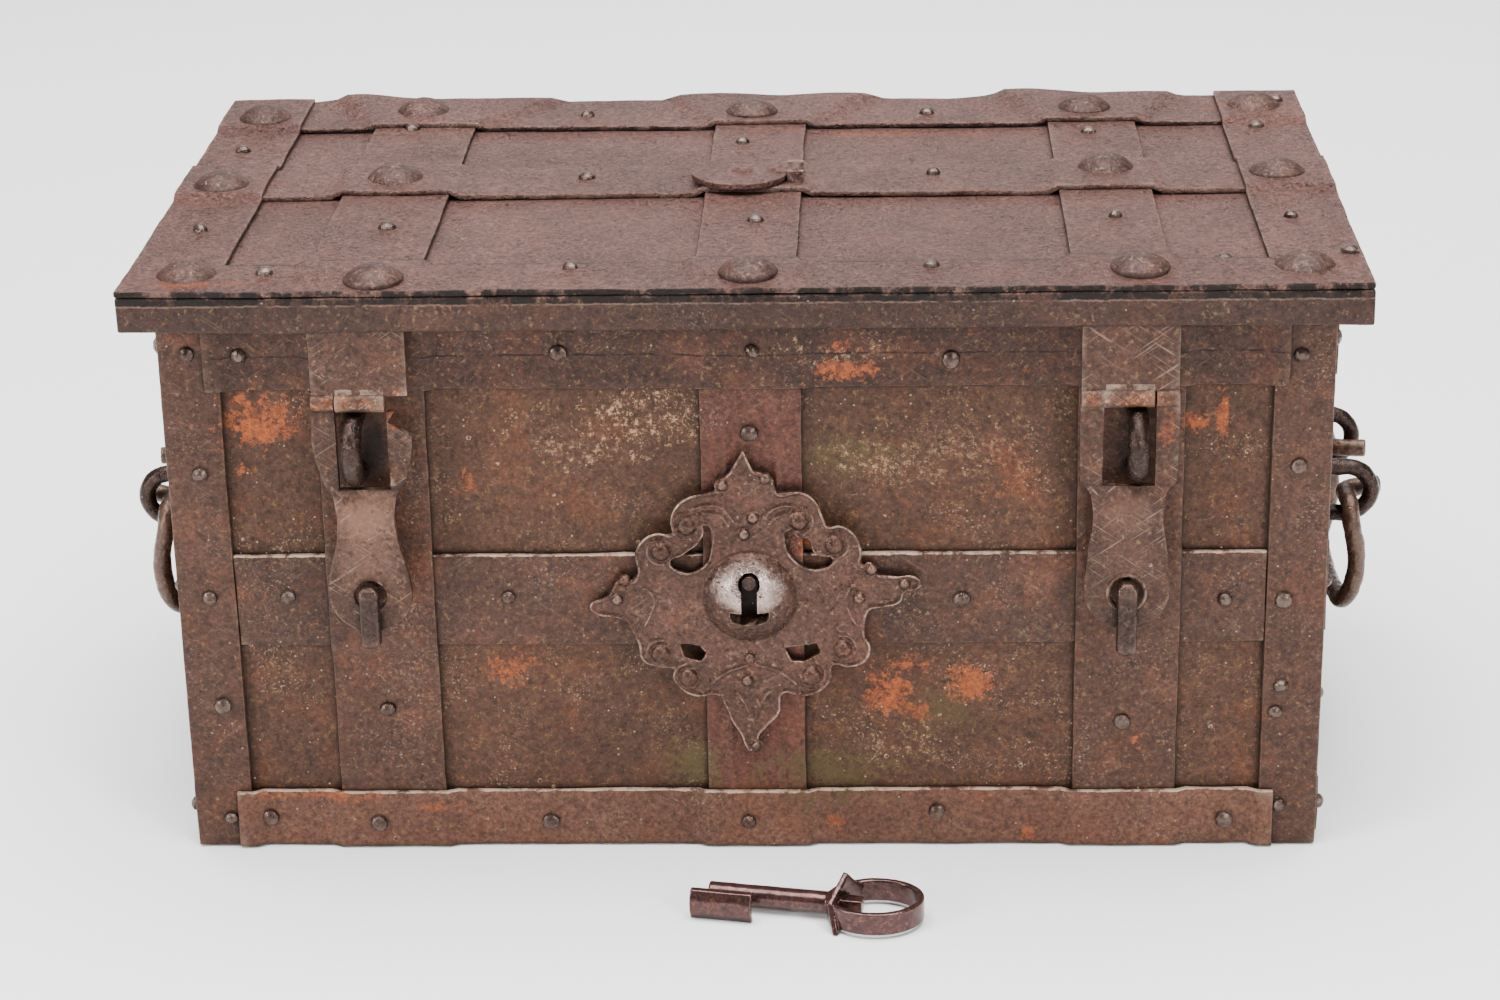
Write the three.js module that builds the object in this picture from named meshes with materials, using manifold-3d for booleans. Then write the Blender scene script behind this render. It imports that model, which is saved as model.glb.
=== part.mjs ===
// An old iron strongbox: riveted sheet walls under crossing iron straps, a lid on two knuckle hinges,
// two hasps over padlock staples and drop toggles, a bail handle at each end, a dummy lock plate in
// front, and the real lock under the lid, whose bolts slide out under the lip when the key turns.
// Millimetres. +X to the right seen from the front, -Y towards the front, +Z up, z = 0 on the floor.
import * as THREE from "three";
import { mergeVertices } from "three/addons/utils/BufferGeometryUtils.js";
import Module from "manifold-3d";

const wasm = await Module();
wasm.setup();

// Chest walls
const bodyWidth = 638;
const bodyDepth = 344;
const wallHeight = 335.7;
const plateThick = 3;
const wallX = bodyWidth / 2;
const wallY = bodyDepth / 2;

// How far joined solids run into each other, and how far a cut runs past what it cuts
const overlap = 1;
const cutPast = 9;

// Straps on the walls and the lid
const strapThick = 3;
const cornerThick = 4;
const cornerLeg = 33;
const strapRamp = 6;
const runningGap = 0.3;
const strapFootGap = 1;
const wrapSetback = 12;
const rimStrapGap = 1.7;
const rimStrapWidth = 52;
const rimToMid = 99;
const midStrapWidth = 55;
const baseStrapWidth = 35;
const rimStrap = { low: wallHeight - rimStrapGap - rimStrapWidth, high: wallHeight - rimStrapGap };
const midStrap = { low: rimStrap.low - rimToMid - midStrapWidth, high: rimStrap.low - rimToMid };
const baseStrap = { low: strapFootGap, high: strapFootGap + baseStrapWidth };
const frontLeft = { inset: 111.8, width: 60.5 };
const frontCentre = { shift: 3, width: 56 };
const frontRight = { inset: 106.3, width: 58.5 };
const backLeft = { inset: 109.5, width: 63 };
const backCentre = { shift: 1, width: 56 };
const backRight = { inset: 112, width: 54 };
const frontStraps = [
  { name: "front_strap_left", centre: frontLeft.inset - wallX, width: frontLeft.width },
  { name: "front_strap_centre", centre: frontCentre.shift, width: frontCentre.width },
  { name: "front_strap_right", centre: wallX - frontRight.inset, width: frontRight.width },
];
const backStraps = [
  { name: "back_hinge_strap_left", centre: backLeft.inset - wallX, width: backLeft.width, hinged: true },
  { name: "back_strap_centre", centre: backCentre.shift, width: backCentre.width, hinged: false },
  { name: "back_hinge_strap_right", centre: wallX - backRight.inset, width: backRight.width, hinged: true },
];
const sideStrapWidth = 56;
const frontStrapSetback = 21;
const frontStrapEnd = wallX - frontStrapSetback;

// Lip round the mouth
const lipThick = 3;
const lipWidth = 21;
const lipTop = wallHeight + lipThick;

// Lid tray
const lidSheet = 3;
const lidOverhang = 21;
const lidX = wallX + lidOverhang;
const lidY = wallY + lidOverhang;
const lidUnder = lipTop + runningGap;
const lidTop = lidUnder + lidSheet;
const skirtDrop = 17;
const skirtLow = lidUnder - skirtDrop;
const lidStrapTop = lidTop + strapThick;
const lidHumpTop = lidStrapTop + strapThick;
const frontBorderWidth = 48;
const rearBorderWidth = 60;
const sideBorderWidth = 52;
const borderLap = 14;
const crossStrap = { centre: 14, width: 56 };

// Domed rivets of the lid: shift is from the middle of the strip they hold, inset from the lid's nearer
// edge, and endInset from the lid's nearer end
const dome = { radius: 16, height: 7, sunk: 1 };
const frontDomeLeft = { shift: 8.5, inset: 19 };
const frontDomeCentre = { shift: 2, inset: 25 };
const frontDomeRight = { shift: 9, inset: 27 };
const rearDomeLeft = { shift: -4.5, inset: 29 };
const rearDomeCentre = { shift: -6, inset: 38 };
const rearDomeRight = { shift: -3, inset: 35 };
const crossDomeLeft = { shift: -3.5, rise: 0 };
const crossDomeRight = { shift: 2, rise: 10 };
const sideDomeLeft = { endInset: 25, rise: -11 };
const sideDomeRight = { endInset: 31, rise: -2 };
const cornerDomeLeft = { endInset: 34, inset: 31 };
const cornerDomeRight = { endInset: 34, inset: 35 };
const rearCornerDomeLeft = { endInset: 27, inset: 43 };
const rearCornerDomeRight = { endInset: 30, inset: 35 };
const [stripLeft, stripCentre, stripRight] = backStraps.map((strap) => strap.centre);
const domesOnFront = [
  [stripLeft + frontDomeLeft.shift, frontDomeLeft.inset - lidY],
  [stripCentre + frontDomeCentre.shift, frontDomeCentre.inset - lidY],
  [stripRight + frontDomeRight.shift, frontDomeRight.inset - lidY],
];
const cornerDomes = [
  [cornerDomeLeft.endInset - lidX, cornerDomeLeft.inset - lidY],
  [lidX - cornerDomeRight.endInset, cornerDomeRight.inset - lidY],
];
const domesOnRear = [
  [stripLeft + rearDomeLeft.shift, lidY - rearDomeLeft.inset],
  [stripCentre + rearDomeCentre.shift, lidY - rearDomeCentre.inset],
  [stripRight + rearDomeRight.shift, lidY - rearDomeRight.inset],
];
const domesOnCross = [
  [stripLeft + crossDomeLeft.shift, crossStrap.centre + crossDomeLeft.rise],
  [stripRight + crossDomeRight.shift, crossStrap.centre + crossDomeRight.rise],
];
const domesOnSide = [
  [sideDomeLeft.endInset - lidX, crossStrap.centre + sideDomeLeft.rise],
  [lidX - sideDomeRight.endInset, crossStrap.centre + sideDomeRight.rise],
  [rearCornerDomeLeft.endInset - lidX, lidY - rearCornerDomeLeft.inset],
  [lidX - rearCornerDomeRight.endInset, lidY - rearCornerDomeRight.inset],
];

// Lid hinges at the back
const hinge = { y: wallY + 13.5, z: lidUnder - 23, ring: 6.5, pin: 3, bodyKnuckle: 22, lidKnuckle: 14 };
const hingeRoom = 0.8;
const hingeRoll = { foot: 22, end: 10, out: 1, inset: 0.2, under: 0.5, low: 2 };
const hingeLeaf = { low: 1.5, high: 1 };
const leafWeb = { nose: 2, rise: 2, foot: 4, top: 6 };

// Hasps in front
const hasp = { inset: 108.5, width: 53, thick: 4, standoff: 16, drop: 59.5, ring: 5, pin: 2.2 };
const haspX = wallX - hasp.inset;
const haspY = -wallY - hasp.standoff;
const haspZ = lidUnder - hasp.drop;
const haspStrapThick = 3;
const haspSlot = { width: 27.5, length: 51 };
const haspDrop = { staple: 27.5, shoulder: 55, neck: 72, end: 111, hole: 113 };
const haspShoulder = haspZ - haspDrop.shoulder;
const haspNeck = { width: 31, z: haspZ - haspDrop.neck, curve: 3, lift: 0.9 };
const haspEnd = { radius: 23.5, z: haspZ - haspDrop.end };
const haspStep = { forward: 5, frontFrom: 5, frontTo: -1, backFrom: -1, backTo: -6 };
const haspTear = { width: 9, depth: 14, lip: 5 };
const haspHole = { radius: 9.3, z: haspZ - haspDrop.hole };

// Padlock staples behind the hasps
const padlockStaple = { bar: 11, z: haspZ - haspDrop.staple, rise: 21.5, reach: 30, sides: 10, steps: 18 };
const stapleShift = { left: -5, right: 4.5 };

// Drop toggles that hang through the holes of the hasps
const toggle = { width: 10, depth: 9, z: haspHole.z + 3, drop: 32, tongue: 4.4, pin: 2, slotDepth: 10 };
const toggleRoom = 0.4;
const toggleTip = 3;
const tongueRise = 5;

// Handles at the ends
const eye = { spacing: 90, bar: 10, height: 39, reach: 48, z: midStrap.high - 15, sides: 10 };
const eyeRoot = 4;
const bail = { bar: 11, grip: 76, bow: 11, hook: 21, armY: 62, sides: 10, steps: 52 };
const bailRest = 0.5;
const hookRoom = 1.5;
// Half of the bail from its hooked end to its grip, (outwards, y, z) from its pivot line
const hookY = eye.spacing / 2 - eye.bar / 2 - bail.bar / 2 - hookRoom;
const bailHalf = [
  [bail.hook, 3 - hookY, 1],
  [bail.hook * 0.45, 1 - hookY, 0.5],
  [0.8, -hookY - 4, 0],
  [0, -eye.spacing / 2, 0],
  [0.5, 5 - bail.armY, -1],
  [2.5, -bail.armY, -8],
  [bail.bow, 0.5 - bail.armY, -bail.grip * 0.5],
  [3, 3 - bail.armY, 10 - bail.grip],
  [-1, 11 - bail.armY, 1 - bail.grip],
  [-2, 24 - bail.armY, -bail.grip],
];

// Dummy lock plate in front
const lockPlate = { x: 1, z: midStrap.low + 29, thick: 3, reachX: 66, reachZ: 62 };
const lockDome = { radius: 26.5, height: 13, rise: 2.5 };
const keySlot = { round: 6.2, pin: 4.2, rise: 14.2, width: 9, foot: 11, pinBack: 3 };
const slotStem = { top: 12, low: -4 };
const slotFoot = { top: -2.6, low: -8.5, half: 7.5, tip: -10.5 };
// Scrolled lobes (x, z, radius), pointed tips and comma-shaped openings, from the plate's centre
const plateLobes = [
  [-38, 45, 12], [-54, 27, 14], [34, 50, 13], [52, 33, 14],
  [-55, -36, 14], [-36, -52, 13], [56, -34, 14], [38, -48, 13],
  [-16, 73, 6], [10, 74, 6.5],
];
const plateTips = [
  [[-28, 50], [-21, 74], [-9, 79], [-4, 90], [4, 80], [15, 77], [25, 52]],
  [[-32, -50], [-18, -68], [-7, -78], [4, -93], [11, -79], [20, -67], [32, -50]],
  [[-60, 14], [-78, 10], [-90, -6], [-80, -14], [-60, -12]],
  [[60, 16], [76, 8], [98, 7], [84, -8], [70, -16], [60, -14]],
];
const plateOpenings = [
  [[-27, 48], [-31, 38], [-36, 30], [-42, 22], [-49, 18], [-43, 14], [-33, 14], [-24, 22], [-23, 35]],
  [[24, 44], [22, 30], [29, 20], [40, 16], [49, 18], [54, 24], [45, 27], [38, 32], [31, 38]],
  [[-51, -25], [-42, -32], [-33, -38], [-26, -44], [-20, -42], [-24, -32], [-32, -24], [-42, -23]],
  [[20, -32], [24, -41], [27, -47], [36, -38], [42, -33], [50, -31], [48, -26], [38, -20], [28, -23]],
];

// Lock under the lid
const keyhole = { x: -5, y: crossStrap.centre, radius: 7, bitWidth: 7, bitReach: 19 };
const lockCarrier = { endRoom: 64, sideRoom: 42, thick: 3.5 };
const carrierX = wallX - lockCarrier.endRoom;
const carrierY = wallY - lockCarrier.sideRoom;
const slide = { thick: 5, shank: 18, bar: 12, head: 24, headInset: 119, travel: 16 };
const slidePinAt = { inner: 24, radius: 3, clear: 0.5 };
const endHeadWider = 4;
const slideSpread = wallX - slide.headInset;
const slideGap = 0.5;
const headSetback = 9;
const longHeadSetback = 30;
const driver = { radius: 47, thick: 5.5, slot: 3.6, bore: 8, turn: 80, spare: 0.06 };
const guide = { width: 10, wall: 6, floor: 3 };
const guidePlace = { outer: 30, innerLeft: 135, innerRight: 145, front: 52, rear: 38 };
const driverBitRoom = 15;
const drillPin = { radius: 2.5, drop: 5 };
const bridge = { width: 16, thick: 5, foot: 54, post: 6 };

// Keyhole cover on the lid
const cover = { x: -7, y: crossStrap.centre - 6, radius: 29, thick: 4 };
const coverHinge = { ring: 3.6, pin: 1.8, knuckle: 16, lug: 4, post: 5, room: 0.6 };

// Key, lying on the floor in front of the chest
const key = { x: -22, y: -wallY - 76, z: 9, length: 70, shank: 6, bore: 3.2, boreDepth: 26 };
const keyTurn = -0.19;
const keyWeb = { from: 3, to: 15, thick: 4, reach: 15 };
const keyFlange = { centre: 10, width: 35, height: 18, thick: 4, bend: 3 };
const keyCollar = { from: 67, thick: 7 };
const collarOutline = [[3, 18], [-15, 7], [-22, -8.8], [13, -8.8], [16, 2]];
const keyNose = { length: 9, wide: 14, narrow: 6, rise: 1 };
const keyStub = { length: 18, half: 4 };
const keyBow = { x: 94.3, y: 0, radiusX: 27, radiusY: 22, turn: 0.22, band: 3.5, height: 13 };

const axisX = new THREE.Vector3(1, 0, 0);
const axisY = new THREE.Vector3(0, 1, 0);
const axisZ = new THREE.Vector3(0, 0, 1);

// Finishes
const darkIron = new THREE.MeshStandardMaterial({ color: 0x694e42, roughness: 0.62, metalness: 0.7 });
const lidIron = new THREE.MeshStandardMaterial({ color: 0x967873, roughness: 0.5, metalness: 0.7 });
const pittedIron = new THREE.MeshStandardMaterial({ color: 0x3c302c, roughness: 0.4, metalness: 0.85 });
const keyIron = new THREE.MeshStandardMaterial({ color: 0x4a2a24, roughness: 0.35, metalness: 0.8 });
const lockIron = new THREE.MeshStandardMaterial({ color: 0x55504c, roughness: 0.45, metalness: 0.85 });

// A closed geometry as a solid for joins and cuts
function solid(geometry) {
  const bare = geometry.index ? geometry.toNonIndexed() : geometry.clone();
  bare.deleteAttribute("normal");
  bare.deleteAttribute("uv");
  const merged = mergeVertices(bare, 1e-4);
  const triVerts = new Uint32Array(merged.index.array);
  const made = new wasm.Manifold(
    new wasm.Mesh({ numProp: 3, vertProperties: merged.attributes.position.array, triVerts }),
  );
  if (made.volume() > 0) return made;
  for (let i = 0; i < triVerts.length; i += 3) {
    [triVerts[i + 1], triVerts[i + 2]] = [triVerts[i + 2], triVerts[i + 1]];
  }
  return new wasm.Manifold(
    new wasm.Mesh({ numProp: 3, vertProperties: merged.attributes.position.array, triVerts }),
  );
}

// A solid back as a geometry
function geometryOf(body) {
  const mesh = body.getMesh();
  const geometry = new THREE.BufferGeometry();
  geometry.setAttribute("position", new THREE.BufferAttribute(new Float32Array(mesh.vertProperties), 3));
  geometry.setIndex(new THREE.BufferAttribute(new Uint32Array(mesh.triVerts), 1));
  return geometry;
}

function join(...bodies) {
  return bodies.reduce((all, body) => all.add(body));
}

function box(x0, x1, y0, y1, z0, z1) {
  const geometry = new THREE.BoxGeometry(x1 - x0, y1 - y0, z1 - z0);
  return solid(geometry.translate((x0 + x1) / 2, (y0 + y1) / 2, (z0 + z1) / 2));
}

function shapeOf(points) {
  return points instanceof THREE.Shape
    ? points
    : new THREE.Shape(points.map(([u, v]) => new THREE.Vector2(u, v)));
}

function discShape(u, v, radius) {
  return new THREE.Shape().absarc(u, v, radius, 0, Math.PI * 2, false);
}

function frameAt(u, v, w, origin) {
  return new THREE.Matrix4().makeBasis(u, v, w).setPosition(origin);
}

// An outline pulled along x, y or z: the outline's points are (y, z), (x, z) or (x, y)
function prism(outline, along, from, to, segments = 6) {
  const settings = { depth: to - from, bevelEnabled: false, curveSegments: segments };
  const geometry = new THREE.ExtrudeGeometry(shapeOf(outline), settings);
  if (along === "x") geometry.applyMatrix4(frameAt(axisY, axisZ, axisX, new THREE.Vector3(from, 0, 0)));
  if (along === "y") {
    const back = axisY.clone().negate();
    geometry.applyMatrix4(frameAt(axisX, axisZ, back, new THREE.Vector3(0, to, 0)));
  }
  if (along === "z") geometry.translate(0, 0, from);
  return solid(geometry);
}

// A round bar swept along a smooth curve
function sweptBar(points, thickness, sides, steps) {
  const path = new THREE.CatmullRomCurve3(points.map((p) => new THREE.Vector3(...p)), false, "centripetal");
  const settings = { steps, extrudePath: path, bevelEnabled: false, curveSegments: sides / 2 };
  return solid(new THREE.ExtrudeGeometry(discShape(0, 0, thickness / 2), settings));
}

// A low dome standing on the level z
function domeAt(x, y, z) {
  const profile = [new THREE.Vector2(0, -dome.sunk), new THREE.Vector2(dome.radius, -dome.sunk)];
  const rings = 4;
  for (let i = 0; i < rings; i += 1) {
    const turn = (i / rings) * (Math.PI / 2);
    profile.push(new THREE.Vector2(dome.radius * Math.cos(turn), dome.height * Math.sin(turn)));
  }
  profile.push(new THREE.Vector2(0, dome.height));
  const geometry = new THREE.LatheGeometry(profile, 20).rotateX(Math.PI / 2);
  return solid(geometry.translate(x, y, z));
}

// The side view of a strap hammered over what lies under it: raises lift it, with a ramp on each side
function strapProfile(from, to, raises, thickness) {
  const lines = [...raises].sort((a, b) => a.from - b.from);
  const heightAt = (u) => lines.find((r) => u >= r.from && u <= r.to)?.height ?? 0;
  const inner = [[from, heightAt(from)]];
  for (const raise of lines) {
    const start = raise.from - runningGap;
    const end = raise.to + runningGap;
    if (start - strapRamp > from) inner.push([start - strapRamp, 0], [start, raise.height]);
    if (end + strapRamp < to) inner.push([end, raise.height], [end + strapRamp, 0]);
  }
  inner.push([to, heightAt(to)]);
  const outer = inner.map(([u, n]) => [u, n + thickness]).reverse();
  return [...inner, ...outer];
}

// A strap on a face: along is its length, out is the face's normal, origin a point on its centre line
function strapOn(along, out, origin, width, from, to, raises = [], thickness = strapThick) {
  const outline = strapProfile(from, to, raises, thickness);
  const geometry = new THREE.ExtrudeGeometry(shapeOf(outline), { depth: width, bevelEnabled: false });
  const across = along.clone().cross(out);
  geometry.translate(0, 0, -width / 2);
  return solid(geometry.applyMatrix4(frameAt(along, out, across, origin)));
}

function mesh(name, body, material) {
  const made = new THREE.Mesh(geometryOf(body), material);
  made.name = name;
  return made;
}

const span = (strap) => strap.high - strap.low;
const middle = (strap) => (strap.high + strap.low) / 2;
const raiseOver = (strap, height) => ({ from: strap.low, to: strap.high, height });
const raiseAcross = (strap, height) => ({
  from: strap.centre - strap.width / 2,
  to: strap.centre + strap.width / 2,
  height,
});

function wallPieces() {
  const inX = wallX - plateThick;
  const inY = wallY - plateThick;
  const front = box(-wallX, wallX, -wallY, -inY, 0, wallHeight);
  const back = box(-wallX, wallX, inY, wallY, 0, wallHeight);
  const left = box(-wallX, -inX, -inY, inY, 0, wallHeight);
  const right = box(inX, wallX, -inY, inY, 0, wallHeight);
  const bottom = box(-inX, inX, -inY, inY, 0, plateThick);
  const lipHole = [wallX - lipWidth, wallY - lipWidth];
  const lip = box(-wallX, wallX, -wallY, wallY, wallHeight, lipTop).subtract(
    box(-lipHole[0], lipHole[0], -lipHole[1], lipHole[1], wallHeight - overlap, lipTop + overlap),
  );
  return [
    mesh("front_wall", front, darkIron),
    mesh("back_wall", back, darkIron),
    mesh("left_wall", left, darkIron),
    mesh("right_wall", right, darkIron),
    mesh("bottom_plate", bottom, darkIron),
    mesh("rim_lip", lip, darkIron),
  ];
}

function cornerStraps() {
  const outX = wallX + cornerThick;
  const outY = wallY + cornerThick;
  const corners = [
    ["corner_strap_front_left", -1, -1],
    ["corner_strap_front_right", 1, -1],
    ["corner_strap_back_left", -1, 1],
    ["corner_strap_back_right", 1, 1],
  ];
  return corners.map(([name, sx, sy]) => {
    const outline = [
      [outX - cornerLeg, outY],
      [outX, outY],
      [outX, outY - cornerLeg],
      [wallX, outY - cornerLeg],
      [wallX, wallY],
      [outX - cornerLeg, wallY],
    ].map(([x, y]) => [x * sx, y * sy]);
    return mesh(name, prism(outline, "z", strapFootGap, rimStrap.high), darkIron);
  });
}

const cornerInner = wallX + cornerThick - cornerLeg;
const cornerRaises = [
  { from: -wallX - cutPast, to: -cornerInner, height: cornerThick },
  { from: cornerInner, to: wallX + cutPast, height: cornerThick },
];

function frontStrapPieces() {
  const out = axisY.clone().negate();
  const face = (x, z) => new THREE.Vector3(x, -wallY, z);
  const uprights = frontStraps.map((strap) => {
    const body = strapOn(axisZ, out, face(strap.centre, 0), strap.width, strapFootGap, rimStrap.high, [
      raiseOver(midStrap, strapThick),
    ]);
    return { strap, body };
  });
  const overUprights = frontStraps.map((strap) => raiseAcross(strap, strapThick));
  const level = (strap) =>
    strapOn(axisX, out, face(0, middle(strap)), span(strap), -frontStrapEnd, frontStrapEnd, [
      ...cornerRaises,
      ...overUprights,
    ]);
  const midEnd = cornerInner - runningGap;
  const mid = strapOn(axisX, out, face(0, middle(midStrap)), span(midStrap), -midEnd, midEnd);
  const pieces = uprights.map(({ strap, body }) => mesh(strap.name, dressUpright(strap, body), darkIron));
  pieces.push(mesh("front_strap_rim", level(rimStrap), darkIron));
  pieces.push(mesh("front_strap_middle", mid, darkIron));
  pieces.push(mesh("front_strap_base", level(baseStrap), darkIron));
  return pieces;
}

const toggleY = haspY - hasp.thick / 2 - haspStep.forward - toggle.depth / 2 - toggleRoom;
const uprightFace = -wallY - 2 * strapThick;

// The outer uprights carry the tongue and pin of a toggle, the centre one the pin of the dummy lock
function dressUpright(strap, body) {
  if (Math.abs(strap.centre) < strap.width) {
    const shape = discShape(lockPlate.x, lockPlate.z + keySlot.rise, keySlot.pin);
    const tip = uprightFace - lockPlate.thick - lockDome.height + keySlot.pinBack;
    return body.add(prism(shape, "y", tip, uprightFace + overlap));
  }
  const x = Math.sign(strap.centre) * haspX;
  const half = toggle.tongue / 2;
  const low = toggle.z - tongueRise;
  const tongue = box(x - half, x + half, toggleY, uprightFace + overlap, low, toggle.z + tongueRise);
  const nose = prism(discShape(toggleY, toggle.z, toggle.depth / 2), "x", x - half, x + half);
  const pinHalf = toggle.width / 2;
  const pin = prism(discShape(toggleY, toggle.z, toggle.pin), "x", x - pinHalf, x + pinHalf);
  return join(body, tongue, nose, pin);
}

// A strap that starts on the left end wall, goes round the back and ends on the right end wall
function wrapStrap(name, strap) {
  const z = middle(strap);
  const width = span(strap);
  const outer = wallX + cornerThick + strapThick;
  const outerY = wallY + cornerThick + strapThick;
  const sideStart = wrapSetback - wallY;
  const innerY = wallY + cornerThick - cornerLeg;
  const sideRaises = [
    { from: -wallY - cutPast, to: -innerY, height: cornerThick },
    { from: innerY, to: wallY + cutPast, height: cornerThick },
  ];
  const onSide = (sign) => {
    const origin = new THREE.Vector3(sign * wallX, 0, z);
    return strapOn(axisY, axisX.clone().multiplyScalar(sign), origin, width, sideStart, outerY, sideRaises);
  };
  const onBack = strapOn(axisX, axisY, new THREE.Vector3(0, wallY, z), width, -outer, outer, cornerRaises);
  return mesh(name, join(onSide(-1), onBack, onSide(1)), darkIron);
}

function sideStraps() {
  const overWraps = [baseStrap, midStrap, rimStrap].map((strap) => raiseOver(strap, strapThick));
  return [["left_strap", -1], ["right_strap", 1]].map(([name, sign]) => {
    const origin = new THREE.Vector3(sign * wallX, 0, 0);
    const out = axisX.clone().multiplyScalar(sign);
    const body = strapOn(axisZ, out, origin, sideStrapWidth, strapFootGap, rimStrap.high, overWraps);
    return mesh(name, body, darkIron);
  });
}

function hingeRing(centre, width) {
  const shape = discShape(hinge.y, hinge.z, hinge.ring);
  return prism(shape, "x", centre - width / 2, centre + width / 2, 8);
}

// Back straps; the outer two are rolled round the lid hinge's pin at their upper ends
function backStrapPieces() {
  const overWraps = [baseStrap, midStrap, rimStrap].map((strap) => raiseOver(strap, strapThick));
  return backStraps.map((strap) => {
    const top = strap.hinged ? hinge.z - hingeRoll.end : rimStrap.high;
    const origin = new THREE.Vector3(strap.centre, wallY, 0);
    const flat = strapOn(axisZ, axisY, origin, strap.width, strapFootGap, top, overWraps);
    if (!strap.hinged) return mesh(strap.name, flat, darkIron);
    const skin = wallY + strapThick;
    const roll = [
      [skin + hingeRoll.inset, hinge.z - hingeRoll.foot],
      [skin + strapThick, hinge.z - hingeRoll.foot],
      [hinge.y + hingeRoll.out, hinge.z - hinge.ring + hingeRoll.under],
      [hinge.y, hinge.z],
      [hinge.y - hinge.ring + hingeRoll.inset, hinge.z - hingeRoll.low],
      [skin + hingeRoll.inset, hinge.z - hingeRoll.end],
    ];
    const from = strap.centre - hinge.bodyKnuckle / 2;
    const web = prism(roll, "x", from, from + hinge.bodyKnuckle);
    const pinReach = hinge.bodyKnuckle / 2 + hinge.lidKnuckle + runningGap;
    const pinShape = discShape(hinge.y, hinge.z, hinge.pin);
    const pin = prism(pinShape, "x", strap.centre - pinReach, strap.centre + pinReach);
    const ring = hingeRing(strap.centre, hinge.bodyKnuckle);
    return mesh(strap.name, join(flat, web, ring, pin), darkIron);
  });
}

// A staple bent like a U in the y-z plane, its legs in the wall
function padlockStapleAt(name, x) {
  const wall = uprightFace + strapThick;
  const crown = wall - padlockStaple.reach + padlockStaple.bar / 2;
  const rise = padlockStaple.rise - padlockStaple.bar / 2;
  const points = [[x, wall, padlockStaple.z - rise]];
  const arcPoints = 6;
  for (let i = 0; i <= arcPoints; i += 1) {
    const turn = -Math.PI / 2 + (i / arcPoints) * Math.PI;
    points.push([x, crown + rise - rise * Math.cos(turn), padlockStaple.z + rise * Math.sin(turn)]);
  }
  points.push([x, wall, padlockStaple.z + rise]);
  const loop = sweptBar(points, padlockStaple.bar, padlockStaple.sides, padlockStaple.steps);
  const far = wall - 2 * padlockStaple.reach;
  const room = box(x - padlockStaple.bar, x + padlockStaple.bar, far, wall, 0, wallHeight);
  return mesh(name, loop.intersect(room), pittedIron);
}

// A handle eye: a U-shaped staple in the x-z plane, made at y = 0 on the right wall
function eyeBody() {
  const wall = wallX + strapThick;
  const rise = (eye.height - eye.bar) / 2;
  const crown = wall + eye.reach - eye.bar / 2;
  const points = [[wall - eyeRoot, 0, eye.z - rise]];
  const arcPoints = 6;
  for (let i = 0; i <= arcPoints; i += 1) {
    const turn = -Math.PI / 2 + (i / arcPoints) * Math.PI;
    points.push([crown - rise + rise * Math.cos(turn), 0, eye.z + rise * Math.sin(turn)]);
  }
  points.push([wall - eyeRoot, 0, eye.z + rise]);
  const loop = sweptBar(points, eye.bar, eye.sides, padlockStaple.steps);
  return loop.intersect(box(wall + runningGap, wall + 2 * eye.reach, -eye.bar, eye.bar, 0, wallHeight));
}

function eyes() {
  const body = eyeBody();
  const places = [
    ["handle_eye_right_front", -1, 0],
    ["handle_eye_right_rear", 1, 0],
    ["handle_eye_left_front", -1, Math.PI],
    ["handle_eye_left_rear", 1, Math.PI],
  ];
  return places.map(([name, side, turn]) => {
    const made = mesh(name, body, pittedIron);
    made.rotation.z = turn;
    made.position.y = (side * eye.spacing) / 2;
    return made;
  });
}

const bailPivot = {
  x: wallX + strapThick + eye.reach - eye.height / 2,
  z: eye.z - (eye.height / 2 - eye.bar) + bail.bar / 2 + bailRest,
};

// A bail handle, made round its pivot line: hooked ends, round the eyes, down the arms and along the grip
function bailBody() {
  const mirrored = bailHalf.map(([x, y, z]) => [x, -y, z]).reverse();
  return sweptBar([...bailHalf, ...mirrored], bail.bar, bail.sides, bail.steps);
}

function bailGroup(name, sign) {
  const group = new THREE.Group();
  const made = mesh(name, bailBody(), pittedIron);
  made.rotation.z = sign > 0 ? 0 : Math.PI;
  group.position.set(sign * bailPivot.x, 0, bailPivot.z);
  group.add(made);
  return group;
}

function ellipseShape(x, z, radiusX, radiusZ) {
  return new THREE.Shape().absellipse(x, z, radiusX, radiusZ, 0, Math.PI * 2, false);
}

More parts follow.
